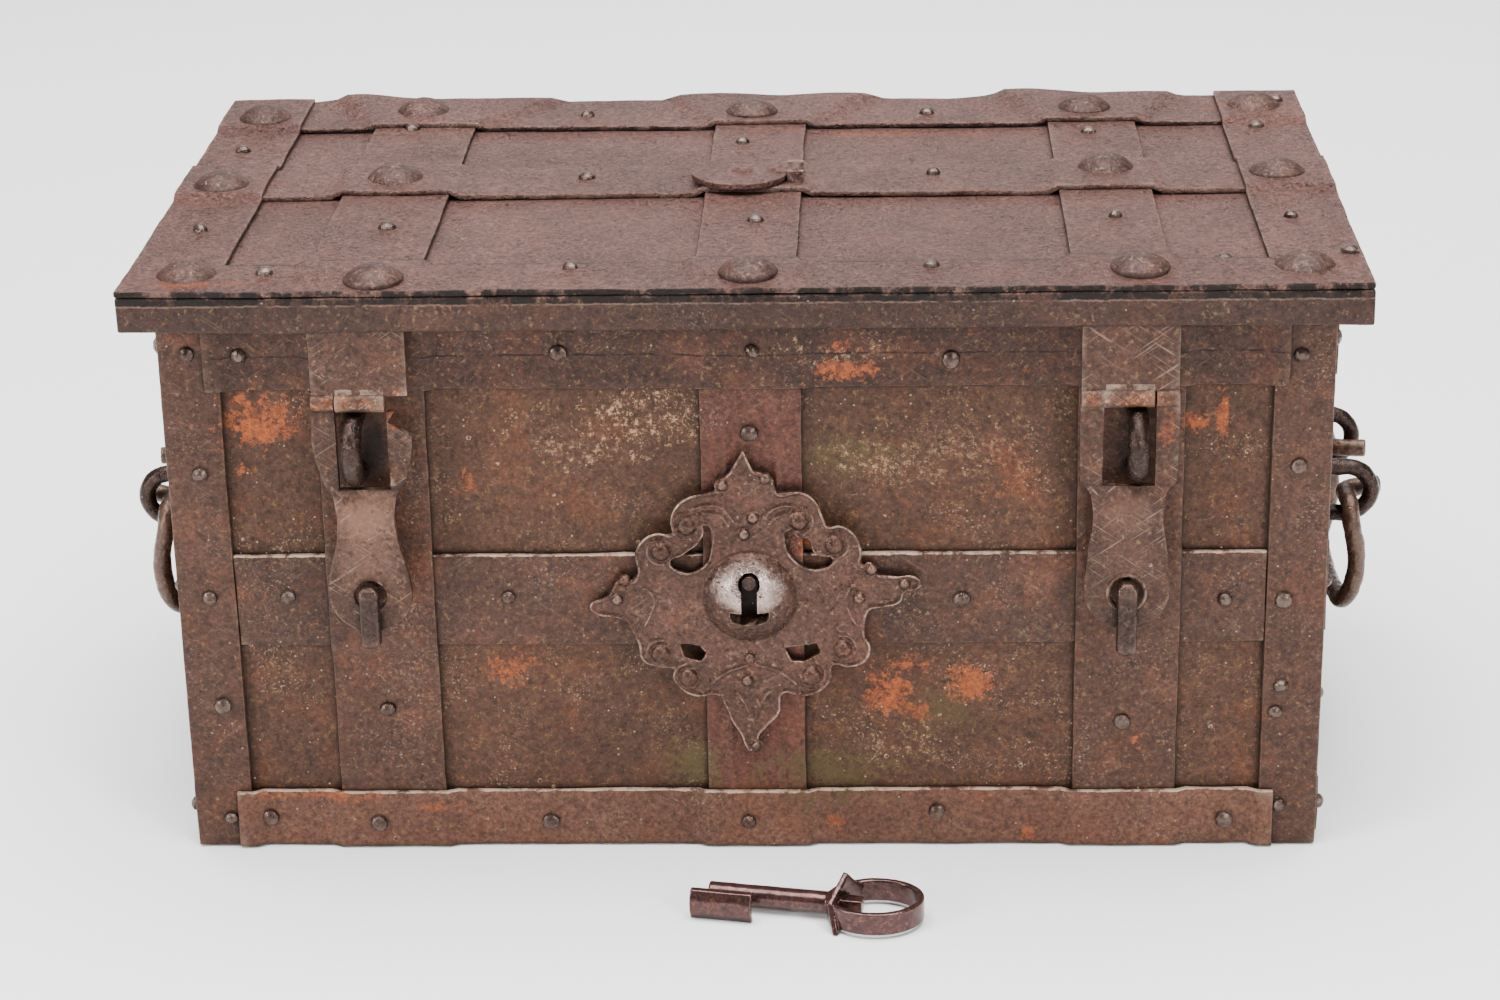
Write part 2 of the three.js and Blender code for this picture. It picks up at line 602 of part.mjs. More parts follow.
// The dummy lock plate: a round plate with eight scrolled lobes, four arrow tips, four comma-shaped
// openings and a dome with a keyhole. Places are from the plate's centre, (x, z).
function dummyLockPlate() {
  const backFace = uprightFace;
  const frontFace = backFace - lockPlate.thick;
  const plateOf = (shape, segments) => prism(shape, "y", frontFace, backFace, segments);
  const moved = (points) => points.map(([x, z]) => [x + lockPlate.x, z + lockPlate.z]);
  const disc = ellipseShape(lockPlate.x, lockPlate.z, lockPlate.reachX, lockPlate.reachZ);
  const solids = [plateOf(disc, 16)];
  for (const [x, z, r] of plateLobes) {
    solids.push(plateOf(discShape(x + lockPlate.x, z + lockPlate.z, r), 8));
  }
  for (const tip of plateTips) solids.push(plateOf(moved(tip)));
  const cap = [new THREE.Vector2(0, -overlap), new THREE.Vector2(lockDome.radius, -overlap)];
  const rings = 6;
  for (let i = 0; i < rings; i += 1) {
    const turn = (i / rings) * (Math.PI / 2);
    cap.push(new THREE.Vector2(lockDome.radius * Math.cos(turn), lockDome.height * Math.sin(turn)));
  }
  cap.push(new THREE.Vector2(0, lockDome.height));
  const capBody = new THREE.LatheGeometry(cap, 28).rotateX(Math.PI);
  solids.push(solid(capBody.translate(lockPlate.x, frontFace, lockPlate.z + lockDome.rise)));
  const holes = plateOpenings.map((points) =>
    prism(moved(points), "y", frontFace - overlap, backFace + overlap),
  );
  const cutFrom = frontFace - lockDome.height - overlap;
  const cutTo = backFace + overlap;
  const roundZ = lockPlate.z + keySlot.rise;
  const halfSlot = keySlot.width / 2;
  holes.push(prism(discShape(lockPlate.x, roundZ, keySlot.round), "y", cutFrom, cutTo));
  const stem = [
    [-halfSlot, slotStem.top],
    [halfSlot, slotStem.top],
    [halfSlot, slotStem.low],
    [-halfSlot, slotStem.low],
  ];
  const foot = [
    [-keySlot.foot, slotFoot.top],
    [keySlot.foot, slotFoot.top],
    [slotFoot.half, slotFoot.low],
    [0, slotFoot.tip],
    [-slotFoot.half, slotFoot.low],
  ];
  holes.push(prism(moved(stem), "y", cutFrom, cutTo));
  holes.push(prism(moved(foot), "y", cutFrom, cutTo));
  const body = holes.reduce((all, hole) => all.subtract(hole), join(...solids));
  return mesh("dummy_lock_plate", body, pittedIron);
}

// Lid tray: a sheet with its edges turned down
function lidTray() {
  const outer = box(-lidX, lidX, -lidY, lidY, skirtLow, lidTop);
  const inX = lidX - lidSheet;
  const inY = lidY - lidSheet;
  const hollow = box(-inX, inX, -inY, inY, skirtLow - overlap, lidUnder);
  const hole = keyholeCut(lidUnder - overlap, lidTop + overlap);
  return mesh("lid_tray", outer.subtract(hollow).subtract(hole), lidIron);
}

// The keyhole through the lid: a round hole with a slot for the bit towards the front
function keyholeCut(from, to) {
  const round = prism(discShape(keyhole.x, keyhole.y, keyhole.radius), "z", from, to);
  const half = keyhole.bitWidth / 2;
  const slot = box(keyhole.x - half, keyhole.x + half, keyhole.y - keyhole.bitReach, keyhole.y, from, to);
  return round.add(slot);
}

function domesJoined(body, places, level) {
  return places.reduce((all, [x, y]) => all.add(domeAt(x, y, level)), body);
}

const lidStrips = backStraps.map((strap, i) => ({
  name: ["lid_strap_left", "lid_strap_centre", "lid_strap_right"][i],
  centre: strap.centre,
  width: strap.width,
}));

function lidStrapPieces() {
  const onLid = (x, y) => new THREE.Vector3(x, y, lidTop);
  const frontInner = -lidY + frontBorderWidth;
  const rearInner = lidY - rearBorderWidth;
  const sideInner = lidX - sideBorderWidth;
  const pieces = lidStrips.map((strip) => {
    const ends = [frontInner - borderLap, rearInner + borderLap];
    let body = strapOn(axisY, axisZ, onLid(strip.centre, 0), strip.width, ends[0], ends[1]);
    if (strip.name === "lid_strap_centre") body = body.subtract(keyholeCut(lidUnder, lidHumpTop + overlap));
    return mesh(strip.name, body, lidIron);
  });
  const overStrips = lidStrips.map((strip) => raiseAcross(strip, strapThick));
  const crossEnd = sideInner + borderLap;
  const crossLine = onLid(0, crossStrap.centre);
  const whole = strapOn(axisX, axisZ, crossLine, crossStrap.width, -crossEnd, crossEnd, overStrips);
  const cross = whole.subtract(keyholeCut(lidTop, lidHumpTop + overlap));
  pieces.push(mesh("lid_strap_cross", coverLugs(domesJoined(cross, domesOnCross, lidHumpTop)), lidIron));

  const frontY = -lidY + frontBorderWidth / 2;
  const front = strapOn(axisX, axisZ, onLid(0, frontY), frontBorderWidth, -lidX, lidX, overStrips);
  const mitre = [
    [-lidX, -lidY],
    [lidX, -lidY],
    [sideInner, frontInner],
    [-sideInner, frontInner],
  ];
  const mitred = front.intersect(prism(mitre, "z", lidTop - overlap, lidHumpTop + cutPast));
  const frontDomed = domesJoined(domesJoined(mitred, domesOnFront, lidHumpTop), cornerDomes, lidStrapTop);
  pieces.push(mesh("lid_border_front", frontDomed, lidIron));

  const rearY = lidY - rearBorderWidth / 2;
  const rear = strapOn(axisX, axisZ, onLid(0, rearY), rearBorderWidth, -lidX, lidX, overStrips);
  pieces.push(mesh("lid_border_rear", domesJoined(rear, domesOnRear, lidHumpTop), lidIron));

  const overEnds = [
    raiseAcross(crossStrap, strapThick),
    { from: rearInner, to: lidY + cutPast, height: strapThick },
  ];
  for (const [name, sign] of [["lid_border_left", -1], ["lid_border_right", 1]]) {
    const x = sign * (lidX - sideBorderWidth / 2);
    let side = strapOn(axisY, axisZ, onLid(x, 0), sideBorderWidth, -lidY, lidY, overEnds);
    const seamAt = (reach) => -lidY + ((lidX - reach) * frontBorderWidth) / sideBorderWidth + runningGap;
    const reaches = [lidX + cutPast, sideInner - cutPast];
    const cut = reaches.map((reach) => [sign * reach, seamAt(reach)]);
    const past = -lidY - 2 * cutPast;
    cut.push([sign * reaches[1], past], [sign * reaches[0], past]);
    side = side.subtract(prism(cut, "z", lidTop - overlap, lidHumpTop + cutPast));
    for (const [x0, y0] of cornerDomes) {
      const room = discShape(x0, y0, dome.radius + 2 * runningGap);
      side = side.subtract(prism(room, "z", lidTop - overlap, lidHumpTop + cutPast, 12));
    }
    const own = domesOnSide.filter(([x0]) => x0 * sign > 0);
    pieces.push(mesh(name, domesJoined(side, own, lidHumpTop), lidIron));
  }
  return pieces;
}

const coverPin = {
  x: cover.x + cover.radius + coverHinge.ring,
  z: lidHumpTop + coverHinge.ring + runningGap,
};

// Two lugs on the cross strap that hold the pin of the keyhole cover
function coverLugs(body) {
  const shape = discShape(coverPin.x, coverPin.z, coverHinge.ring);
  const half = coverHinge.knuckle / 2;
  const lug = (from) => {
    const reach = coverHinge.post / 2;
    const to = from + coverHinge.lug;
    const post = box(coverPin.x - reach, coverPin.x + reach, from, to, lidHumpTop - overlap, coverPin.z);
    return post.add(prism(shape, "y", from, from + coverHinge.lug));
  };
  const near = cover.y - half - runningGap - coverHinge.lug;
  const far = cover.y + half + runningGap;
  const pin = prism(discShape(coverPin.x, coverPin.z, coverHinge.pin), "y", near, far + coverHinge.lug);
  return join(body, lug(near), lug(far), pin);
}

function keyholeCover() {
  const low = lidHumpTop + runningGap;
  const disc = prism(discShape(cover.x, cover.y, cover.radius), "z", low, low + cover.thick, 14);
  const half = coverHinge.knuckle / 2;
  const tongue = box(cover.x, coverPin.x, cover.y - half, cover.y + half, low, low + cover.thick);
  const ring = prism(discShape(coverPin.x, coverPin.z, coverHinge.ring), "y", cover.y - half, cover.y + half);
  const room = [-1, 1].map((side) => {
    const reach = coverHinge.lug / 2 + overlap;
    const from = cover.y + side * (half + reach);
    const inner = coverPin.x - coverHinge.ring - coverHinge.room;
    return box(inner, coverPin.x + cutPast, from - reach, from + reach, low - overlap, low + cutPast);
  });
  const boreReach = half + cutPast;
  const bore = prism(
    discShape(coverPin.x, coverPin.z, coverHinge.pin + runningGap),
    "y",
    cover.y - boreReach,
    cover.y + boreReach,
  );
  const cut = disc.subtract(room[0]).subtract(room[1]);
  return mesh("keyhole_cover", join(cut, tongue, ring).subtract(bore), lidIron);
}

// Lid leaves of the hinges, on the inner face of the rear skirt
function lidHingeLeaves() {
  const inner = lidY - lidSheet;
  return backStraps.filter((strap) => strap.hinged).map((strap) => {
    const knuckleAt = hinge.bodyKnuckle / 2 + runningGap + hinge.lidKnuckle / 2;
    const bore = hinge.pin + runningGap;
    const wide = strap.centre - knuckleAt - hinge.lidKnuckle / 2;
    const far = strap.centre + knuckleAt + hinge.lidKnuckle / 2;
    const leafTop = lidUnder - hingeLeaf.high;
    const leaf = box(wide, far, inner - strapThick, inner, skirtLow + hingeLeaf.low, leafTop);
    const side = [-1, 1].map((sign) => {
      const centre = strap.centre + sign * knuckleAt;
      const web = [
        [hinge.y + leafWeb.nose, hinge.z],
        [inner + overlap, hinge.z + leafWeb.rise],
        [inner, skirtLow - runningGap],
        [inner, skirtLow + leafWeb.top],
        [inner - strapThick, skirtLow + leafWeb.top],
        [inner - strapThick, hinge.z + leafWeb.foot],
      ];
      const from = centre - hinge.lidKnuckle / 2;
      const to = from + hinge.lidKnuckle;
      const piece = prism(web, "x", from, to).add(hingeRing(centre, hinge.lidKnuckle));
      const pinRoom = prism(discShape(hinge.y, hinge.z, bore), "x", from - overlap, to + overlap);
      return piece.subtract(pinRoom);
    });
    const room = discShape(hinge.y, hinge.z, hinge.ring + hingeRoom);
    const bodyGap = hinge.bodyKnuckle / 2 + runningGap;
    const clear = prism(room, "x", strap.centre - bodyGap, strap.centre + bodyGap, 5);
    const name = strap.centre < 0 ? "lid_hinge_leaf_left" : "lid_hinge_leaf_right";
    return mesh(name, join(leaf.subtract(clear), ...side), lidIron);
  });
}

// Straps that carry the hasps, riveted inside the front skirt
function haspStraps() {
  const back = -lidY + lidSheet;
  return [["hasp_strap_left", -1], ["hasp_strap_right", 1]].map(([name, sign]) => {
    const x = sign * haspX;
    const half = hasp.width / 2;
    const knuckle = haspSlot.width / 2 + runningGap;
    const leafLow = haspZ + hasp.ring + overlap;
    const leaf = box(x - half, x + half, back, back + haspStrapThick, leafLow, lidUnder - overlap);
    const neck = box(x - knuckle, x + knuckle, back, back + haspStrapThick, haspZ, leafLow + overlap);
    const ring = prism(discShape(haspY, haspZ, hasp.ring), "x", x - knuckle, x + knuckle);
    const pin = prism(discShape(haspY, haspZ, hasp.pin), "x", x - half, x + half);
    return mesh(name, join(leaf, neck, ring, pin), pittedIron);
  });
}

// A hasp: its outline cut from an S-shaped plate, with rings at the top, a slot and a round hole
function haspBody(x, torn) {
  const half = hasp.width / 2;
  const neckHalf = haspNeck.width / 2;
  const tornWidth = torn ? haspTear.width : 0;
  const outline = new THREE.Shape();
  outline.moveTo(x - half, haspZ);
  outline.lineTo(x - half, haspShoulder);
  outline.quadraticCurveTo(x - neckHalf, haspShoulder - haspNeck.curve, x - neckHalf, haspNeck.z);
  const lift = Math.acos(neckHalf / haspEnd.radius) * haspNeck.lift;
  outline.absarc(x, haspEnd.z, haspEnd.radius, Math.PI - lift, lift + Math.PI * 2, false);
  outline.lineTo(x + neckHalf, haspNeck.z);
  outline.quadraticCurveTo(x + neckHalf, haspShoulder - haspNeck.curve, x + half, haspShoulder);
  outline.lineTo(x + half, haspZ - (torn ? haspTear.depth : 0));
  if (torn) outline.lineTo(x + half - tornWidth, haspZ - haspTear.lip);
  outline.lineTo(x + half - tornWidth, haspZ);
  const low = haspEnd.z - haspEnd.radius - cutPast;
  const back = haspY + hasp.thick / 2;
  const front = back - hasp.thick;
  const side = [
    [back, haspZ],
    [front, haspZ],
    [front, haspShoulder + haspStep.frontFrom],
    [front - haspStep.forward, haspShoulder + haspStep.frontTo],
    [front - haspStep.forward, low],
    [back - haspStep.forward, low],
    [back - haspStep.forward, haspShoulder + haspStep.backTo],
    [back, haspShoulder + haspStep.backFrom],
  ];
  const near = front - haspStep.forward - cutPast;
  const far = back + cutPast;
  const sheet = prism(side, "x", x - half - cutPast, x + half + cutPast);
  const cutOut = prism(outline, "y", near, far, 8);
  const slotFrom = haspSlot.width / 2 + 2 * runningGap;
  const slot = box(x - slotFrom, x + slotFrom, near, far, haspZ - haspSlot.length, haspZ + cutPast);
  const hole = prism(discShape(x, haspHole.z, haspHole.radius), "y", near, far, 6);
  const rings = [-1, 1].map((sign) => {
    const inner = x + sign * slotFrom;
    const outer = x + sign * (half - (sign > 0 ? tornWidth : 0));
    const from = Math.min(inner, outer);
    return prism(discShape(haspY, haspZ, hasp.ring), "x", from, Math.max(inner, outer));
  });
  const boreReach = half + cutPast;
  const bore = prism(discShape(haspY, haspZ, hasp.pin + runningGap), "x", x - boreReach, x + boreReach);
  return join(sheet.intersect(cutOut).subtract(slot).subtract(hole), ...rings).subtract(bore);
}

// A drop toggle: a bar forked over its tongue, hanging in front of the hasp
function toggleBody(x) {
  const half = toggle.width / 2;
  const depth = toggle.depth / 2;
  const low = toggle.z - toggle.drop;
  const outline = new THREE.Shape();
  outline.moveTo(toggleY - depth, low + toggleTip);
  outline.lineTo(toggleY - depth, toggle.z);
  outline.absarc(toggleY, toggle.z, depth, Math.PI, 0, true);
  outline.lineTo(toggleY + depth, low + toggleTip);
  outline.quadraticCurveTo(toggleY + depth, low, toggleY, low);
  outline.quadraticCurveTo(toggleY - depth, low, toggleY - depth, low + toggleTip);
  const bar = prism(outline, "x", x - half, x + half);
  const slotHalf = toggle.tongue / 2 + toggleRoom;
  const slot = box(
    x - slotHalf,
    x + slotHalf,
    toggleY - cutPast,
    toggleY + cutPast,
    toggle.z - toggle.slotDepth,
    toggle.z + cutPast,
  );
  const bore = prism(discShape(toggleY, toggle.z, toggle.pin + runningGap), "x", x - cutPast, x + cutPast);
  return bar.subtract(slot).subtract(bore);
}

const carrierLow = lidUnder - lockCarrier.thick;
const slideTop = carrierLow - slideGap;
const slideLow = slideTop - slide.thick;
const driverTop = slideLow - slideGap;
const driverLow = driverTop - driver.thick;
const bridgeTop = driverLow - slideGap;
const sideHeadReach = wallX - lipWidth - headSetback;

// The plate under the lid that carries the lock: guides for the four slides hang from it
function lockCarrierPlate() {
  let body = box(-carrierX, carrierX, -carrierY, carrierY, carrierLow, lidUnder);
  const half = slide.shank / 2 + slideGap;
  const outer = half + guide.wall;
  const low = slideLow - slideGap - guide.floor;
  const roomLow = slideLow - slideGap;
  const reach = guide.width / 2;
  const across = [keyhole.y - outer, keyhole.y + outer];
  const alongX = (x) => {
    const block = box(x - reach, x + reach, ...across, low, carrierLow + overlap);
    const length = [x - guide.width, x + guide.width];
    return block.subtract(box(...length, keyhole.y - half, keyhole.y + half, roomLow, carrierLow));
  };
  const alongY = (y) => {
    const block = box(keyhole.x - outer, keyhole.x + outer, y - reach, y + reach, low, carrierLow + overlap);
    const length = [y - guide.width, y + guide.width];
    return block.subtract(box(keyhole.x - half, keyhole.x + half, ...length, roomLow, carrierLow));
  };
  const outerGuide = carrierX - guidePlace.outer;
  const onX = [-outerGuide, guidePlace.innerLeft - carrierX, carrierX - guidePlace.innerRight, outerGuide];
  const onY = [guidePlace.front - carrierY, carrierY - guidePlace.rear];
  for (const x of onX) body = body.add(alongX(x));
  for (const y of onY) body = body.add(alongY(y));
  const hole = keyholeCut(carrierLow - overlap, lidUnder + overlap);
  return mesh("lock_carrier_plate", body.subtract(hole), lockIron);
}

// A bar under the driver that carries it and the drill pin for the hollow key
function driverBridge() {
  const reach = bridge.foot / Math.SQRT2;
  const turn = new THREE.Matrix4().makeRotationZ(Math.PI / 4);
  const long = bridge.foot + bridge.post;
  const barGeometry = new THREE.BoxGeometry(2 * long, bridge.width, bridge.thick).applyMatrix4(turn);
  const bar = solid(barGeometry.translate(keyhole.x, keyhole.y, bridgeTop - bridge.thick / 2));
  const posts = [-1, 1].map((sign) => {
    const shape = discShape(keyhole.x + sign * reach, keyhole.y + sign * reach, bridge.post);
    return prism(shape, "z", bridgeTop - overlap, carrierLow, 4);
  });
  const shape = discShape(keyhole.x, keyhole.y, drillPin.radius);
  const pin = prism(shape, "z", bridgeTop - overlap, lidUnder - drillPin.drop, 4);
  return mesh("driver_bridge", join(bar, ...posts, pin), lockIron);
}

// The spiral slot that moves a slide's pin from its inner to its outer place as the driver turns
function spiralSlot(start) {
  const steps = 12;
  const inner = [];
  const outer = [];
  const full = THREE.MathUtils.degToRad(driver.turn);
  for (let i = 0; i <= steps; i += 1) {
    const turn = -driver.spare + (i / steps) * (full + 2 * driver.spare);
    const radius = slidePinAt.inner + (turn / full) * slide.travel;
    const angle = start - turn;
    const along = [Math.cos(angle), Math.sin(angle)];
    outer.push([along[0] * (radius + driver.slot), along[1] * (radius + driver.slot)]);
    inner.push([along[0] * (radius - driver.slot), along[1] * (radius - driver.slot)]);
  }
  const points = [...outer, ...inner.reverse()].map(([x, y]) => [x + keyhole.x, y + keyhole.y]);
  let slot = prism(points, "z", driverLow - overlap, driverTop + overlap);
  for (const turn of [0, full]) {
    const radius = slidePinAt.inner + (turn / full) * slide.travel;
    const x = keyhole.x + radius * Math.cos(start - turn);
    const y = keyhole.y + radius * Math.sin(start - turn);
    slot = slot.add(prism(discShape(x, y, driver.slot), "z", driverLow - overlap, driverTop + overlap, 4));
  }
  return slot;
}

const slideAngles = { right: 0, rear: Math.PI / 2, left: Math.PI, front: -Math.PI / 2 };

function lockDriver() {
  let body = prism(discShape(keyhole.x, keyhole.y, driver.radius), "z", driverLow, driverTop, 18);
  for (const start of Object.values(slideAngles)) body = body.subtract(spiralSlot(start));
  const low = driverLow - overlap;
  const high = driverTop + overlap;
  const bore = prism(discShape(keyhole.x, keyhole.y, driver.bore), "z", low, high, 5);
  const half = keyhole.bitWidth / 2;
  const bitRoom = box(keyhole.x - half, keyhole.x + half, keyhole.y - driverBitRoom, keyhole.y, low, high);
  return mesh("lock_driver", body.subtract(bore).subtract(bitRoom), lockIron);
}

function slidePin(start) {
  const x = keyhole.x + slidePinAt.inner * Math.cos(start);
  const y = keyhole.y + slidePinAt.inner * Math.sin(start);
  return prism(discShape(x, y, slidePinAt.radius), "z", driverLow + slidePinAt.clear, slideLow + overlap, 4);
}

// End slides: one shank with a head at its outer end
function endSlide(name, sign) {
  const half = slide.shank / 2;
  const start = keyhole.x + sign * (slidePinAt.inner - half);
  const end = sign * sideHeadReach;
  const neck = end - sign * slide.bar;
  const xs = (a, b) => [Math.min(a, b), Math.max(a, b)];
  const shank = box(...xs(start, end), keyhole.y - half, keyhole.y + half, slideLow, slideTop);
  const headHalf = slide.head / 2 + endHeadWider;
  const head = box(...xs(neck, end), keyhole.y - headHalf, keyhole.y + headHalf, slideLow, slideTop);
  const pin = slidePin(sign > 0 ? slideAngles.right : slideAngles.left);
  return mesh(name, join(shank, head, pin), lockIron);
}

// Front and rear slides: a shank, a long bar across and three heads
function longSlide(name, sign) {
  const half = slide.shank / 2;
  const start = keyhole.y + sign * (slidePinAt.inner - half);
  const end = sign * (wallY - longHeadSetback);
  const headRoot = end - sign * slide.bar;
  const barRoot = headRoot - sign * slide.bar;
  const ys = (a, b) => [Math.min(a, b), Math.max(a, b)];
  const shank = box(keyhole.x - half, keyhole.x + half, ...ys(start, headRoot), slideLow, slideTop);
  const reach = slideSpread + slide.head / 2;
  const bar = box(-reach, reach, ...ys(barRoot, headRoot), slideLow, slideTop);
  const heads = [-slideSpread, keyhole.x, slideSpread].map((x) =>
    box(x - slide.head / 2, x + slide.head / 2, ...ys(headRoot - sign, end), slideLow, slideTop),
  );
  const pin = slidePin(sign > 0 ? slideAngles.rear : slideAngles.front);
  return mesh(name, join(shank, bar, ...heads, pin), lockIron);
}

// The bit's plate: bent so that its upper and lower edges come forward
function keyPlate() {
  const half = keyFlange.height / 2;
  const face = -keyWeb.reach;
  const back = face - keyFlange.thick;
  const outline = new THREE.Shape();
  outline.moveTo(face + keyFlange.bend, -half);
  outline.quadraticCurveTo(face + overlap - keyFlange.bend, 0, face + keyFlange.bend, half);
  outline.lineTo(back + keyFlange.bend, half);
  outline.quadraticCurveTo(back - keyFlange.bend, 0, back + keyFlange.bend, -half);
  const from = keyFlange.centre - keyFlange.width / 2;
  return prism(outline, "x", from, from + keyFlange.width);
}

// The pointed collar: a plate across the shank, its face falling away to the bow
function keyCollarBody() {
  const to = keyCollar.from + keyCollar.thick;
  const nose = new THREE.CylinderGeometry(keyNose.narrow, keyNose.wide, keyNose.length, 4)
    .rotateZ(-Math.PI / 2)
    .translate(to - overlap + keyNose.length / 2, 0, keyNose.rise);
  const reach = keyNose.wide + cutPast;
  const room = box(keyCollar.from, to + reach, -reach, reach, overlap - key.z, reach);
  return prism(collarOutline, "x", keyCollar.from, to).add(solid(nose).intersect(room));
}

// The key: hollow shank, T-shaped bit, pointed collar, a square stub and a flat ring for a bow
function keyMesh() {
  const along = (from, to, radius, segments) => prism(discShape(0, 0, radius), "x", from, to, segments);
  const shank = along(0, key.length, key.shank, 4);
  const halfWeb = keyWeb.thick / 2;
  const web = box(keyWeb.from, keyWeb.to, -keyWeb.reach - overlap, 0, -halfWeb, halfWeb);
  const half = keyStub.half;
  const stub = box(key.length, key.length + keyStub.length, -half, half, -half, half);
  const ring = ellipseShape(0, 0, keyBow.radiusX, keyBow.radiusY);
  const insideX = keyBow.radiusX - keyBow.band;
  const insideY = keyBow.radiusY - keyBow.band;
  ring.holes.push(new THREE.Path().absellipse(0, 0, insideX, insideY, 0, Math.PI * 2, true));
  const settings = { depth: keyBow.height, bevelEnabled: false, curveSegments: 9 };
  const band = new THREE.ExtrudeGeometry(ring, settings)
    .translate(0, 0, -keyBow.height / 2)
    .rotateZ(keyBow.turn)
    .translate(keyBow.x, keyBow.y, 0);
  const bow = solid(band);
  const bore = along(-overlap, key.boreDepth, key.bore, 3);
  const body = join(shank, web, keyPlate(), keyCollarBody(), stub, bow).subtract(bore);
  const made = mesh("key", body, keyIron);
  made.rotation.z = keyTurn;
  made.position.set(key.x, key.y, key.z);
  return made;
}

function build() {
  const strongbox = new THREE.Group();
  const chest = new THREE.Group();
  chest.add(...wallPieces(), ...cornerStraps(), ...frontStrapPieces());
  chest.add(wrapStrap("wrap_strap_base", baseStrap));
  chest.add(wrapStrap("wrap_strap_middle", midStrap));
  chest.add(wrapStrap("wrap_strap_rim", rimStrap));
  chest.add(...sideStraps(), ...backStrapPieces(), ...eyes(), dummyLockPlate());
  chest.add(padlockStapleAt("padlock_staple_left", stapleShift.left - haspX));
  chest.add(padlockStapleAt("padlock_staple_right", haspX + stapleShift.right));

  const lid = new THREE.Group();
  lid.add(lidTray(), ...lidStrapPieces(), ...lidHingeLeaves(), ...haspStraps());
  lid.add(lockCarrierPlate(), driverBridge(), lockDriver(), keyholeCover());
  lid.add(endSlide("bolt_slide_left", -1), endSlide("bolt_slide_right", 1));
  lid.add(longSlide("bolt_slide_front", -1), longSlide("bolt_slide_rear", 1));

  const moving = new THREE.Group();
  moving.add(mesh("hasp_left", haspBody(-haspX, true), pittedIron));
  moving.add(mesh("hasp_right", haspBody(haspX, false), pittedIron));
  moving.add(mesh("toggle_left", toggleBody(-haspX), pittedIron));
  moving.add(mesh("toggle_right", toggleBody(haspX), pittedIron));
  moving.add(bailGroup("bail_left", -1), bailGroup("bail_right", 1));
  moving.add(keyMesh());

  strongbox.add(chest, lid, moving);
  return strongbox;
}

export default build();
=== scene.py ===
# An old iron strongbox: hammered sheet walls under riveted straps, a lid with domed rivets, hasps over
# staples, drop toggles, bail handles, a scrolled dummy lock plate and its key on the floor in front.
# Metres, with +X to the right, -Y to the front and +Z up.
import math

import bmesh
import bpy
from mathutils import Matrix, Vector


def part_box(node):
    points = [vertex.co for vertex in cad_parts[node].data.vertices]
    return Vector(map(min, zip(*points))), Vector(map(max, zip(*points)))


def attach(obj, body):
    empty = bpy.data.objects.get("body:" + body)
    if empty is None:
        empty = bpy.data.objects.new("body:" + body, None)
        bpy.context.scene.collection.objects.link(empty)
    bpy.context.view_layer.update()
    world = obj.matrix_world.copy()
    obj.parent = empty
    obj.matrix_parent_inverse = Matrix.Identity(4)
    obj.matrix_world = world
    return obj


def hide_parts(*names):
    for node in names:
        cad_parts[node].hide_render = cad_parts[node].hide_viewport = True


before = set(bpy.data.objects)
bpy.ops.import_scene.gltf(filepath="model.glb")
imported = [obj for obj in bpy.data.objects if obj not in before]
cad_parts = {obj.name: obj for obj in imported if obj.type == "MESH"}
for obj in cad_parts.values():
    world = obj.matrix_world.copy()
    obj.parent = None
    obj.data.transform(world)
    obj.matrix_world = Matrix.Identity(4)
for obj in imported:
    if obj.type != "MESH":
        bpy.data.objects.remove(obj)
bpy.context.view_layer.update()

mm = 0.001
alongX, alongY, alongZ = Vector((1, 0, 0)), Vector((0, 1, 0)), Vector((0, 0, 1))
wallLow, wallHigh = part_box("front_wall")
wallX, wallY, wallTop = wallHigh.x, -wallLow.y, wallHigh.z
trayLow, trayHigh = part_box("lid_tray")
lidX, lidY, lidTop = trayHigh.x, trayHigh.y, trayHigh.z


# Small helpers for working as by hand

def focus(piece):
    bpy.ops.object.select_all(action="DESELECT")
    piece.select_set(True)
    bpy.context.view_layer.objects.active = piece


def addPiece(name, kind, **settings):
    bpy.ops.object.select_all(action="DESELECT")
    getattr(bpy.ops.mesh, f"primitive_{kind}_add")(**settings)
    piece = bpy.context.active_object
    piece.name = piece.data.name = name
    return piece


def applyPlace(piece):
    focus(piece)
    bpy.ops.object.transform_apply(location=True, rotation=True, scale=True)


def startEdit(piece, mode="VERT"):
    focus(piece)
    bpy.ops.object.mode_set(mode="EDIT")
    bpy.ops.mesh.select_mode(type=mode)


def endEdit():
    bpy.ops.object.mode_set(mode="OBJECT")


def selectAll():
    bpy.ops.mesh.select_all(action="SELECT")


def sliceAll(at, normal, **settings):
    # in edit mode, a cut through the whole piece along a plane
    selectAll()
    bpy.ops.mesh.bisect(plane_co=at, plane_no=normal, **settings)


def pick(piece, test, kind="verts"):
    bpy.ops.mesh.select_all(action="DESELECT")
    shape = bmesh.from_edit_mesh(piece.data)
    for part in getattr(shape, kind):
        middle = part.co if kind == "verts" else sum((v.co for v in part.verts), Vector()) / len(part.verts)
        part.select_set(bool(test(middle)))
    shape.select_flush_mode()
    bmesh.update_edit_mesh(piece.data)


def modify(piece, kind, **settings):
    focus(piece)
    bpy.ops.object.modifier_add(type=kind)
    change = piece.modifiers[-1]
    for key, value in settings.items():
        setattr(change, key, value)
    bpy.ops.object.modifier_apply(modifier=change.name)


def smoothShade(piece, angle=40):
    focus(piece)
    bpy.ops.object.shade_smooth_by_angle(angle=math.radians(angle))


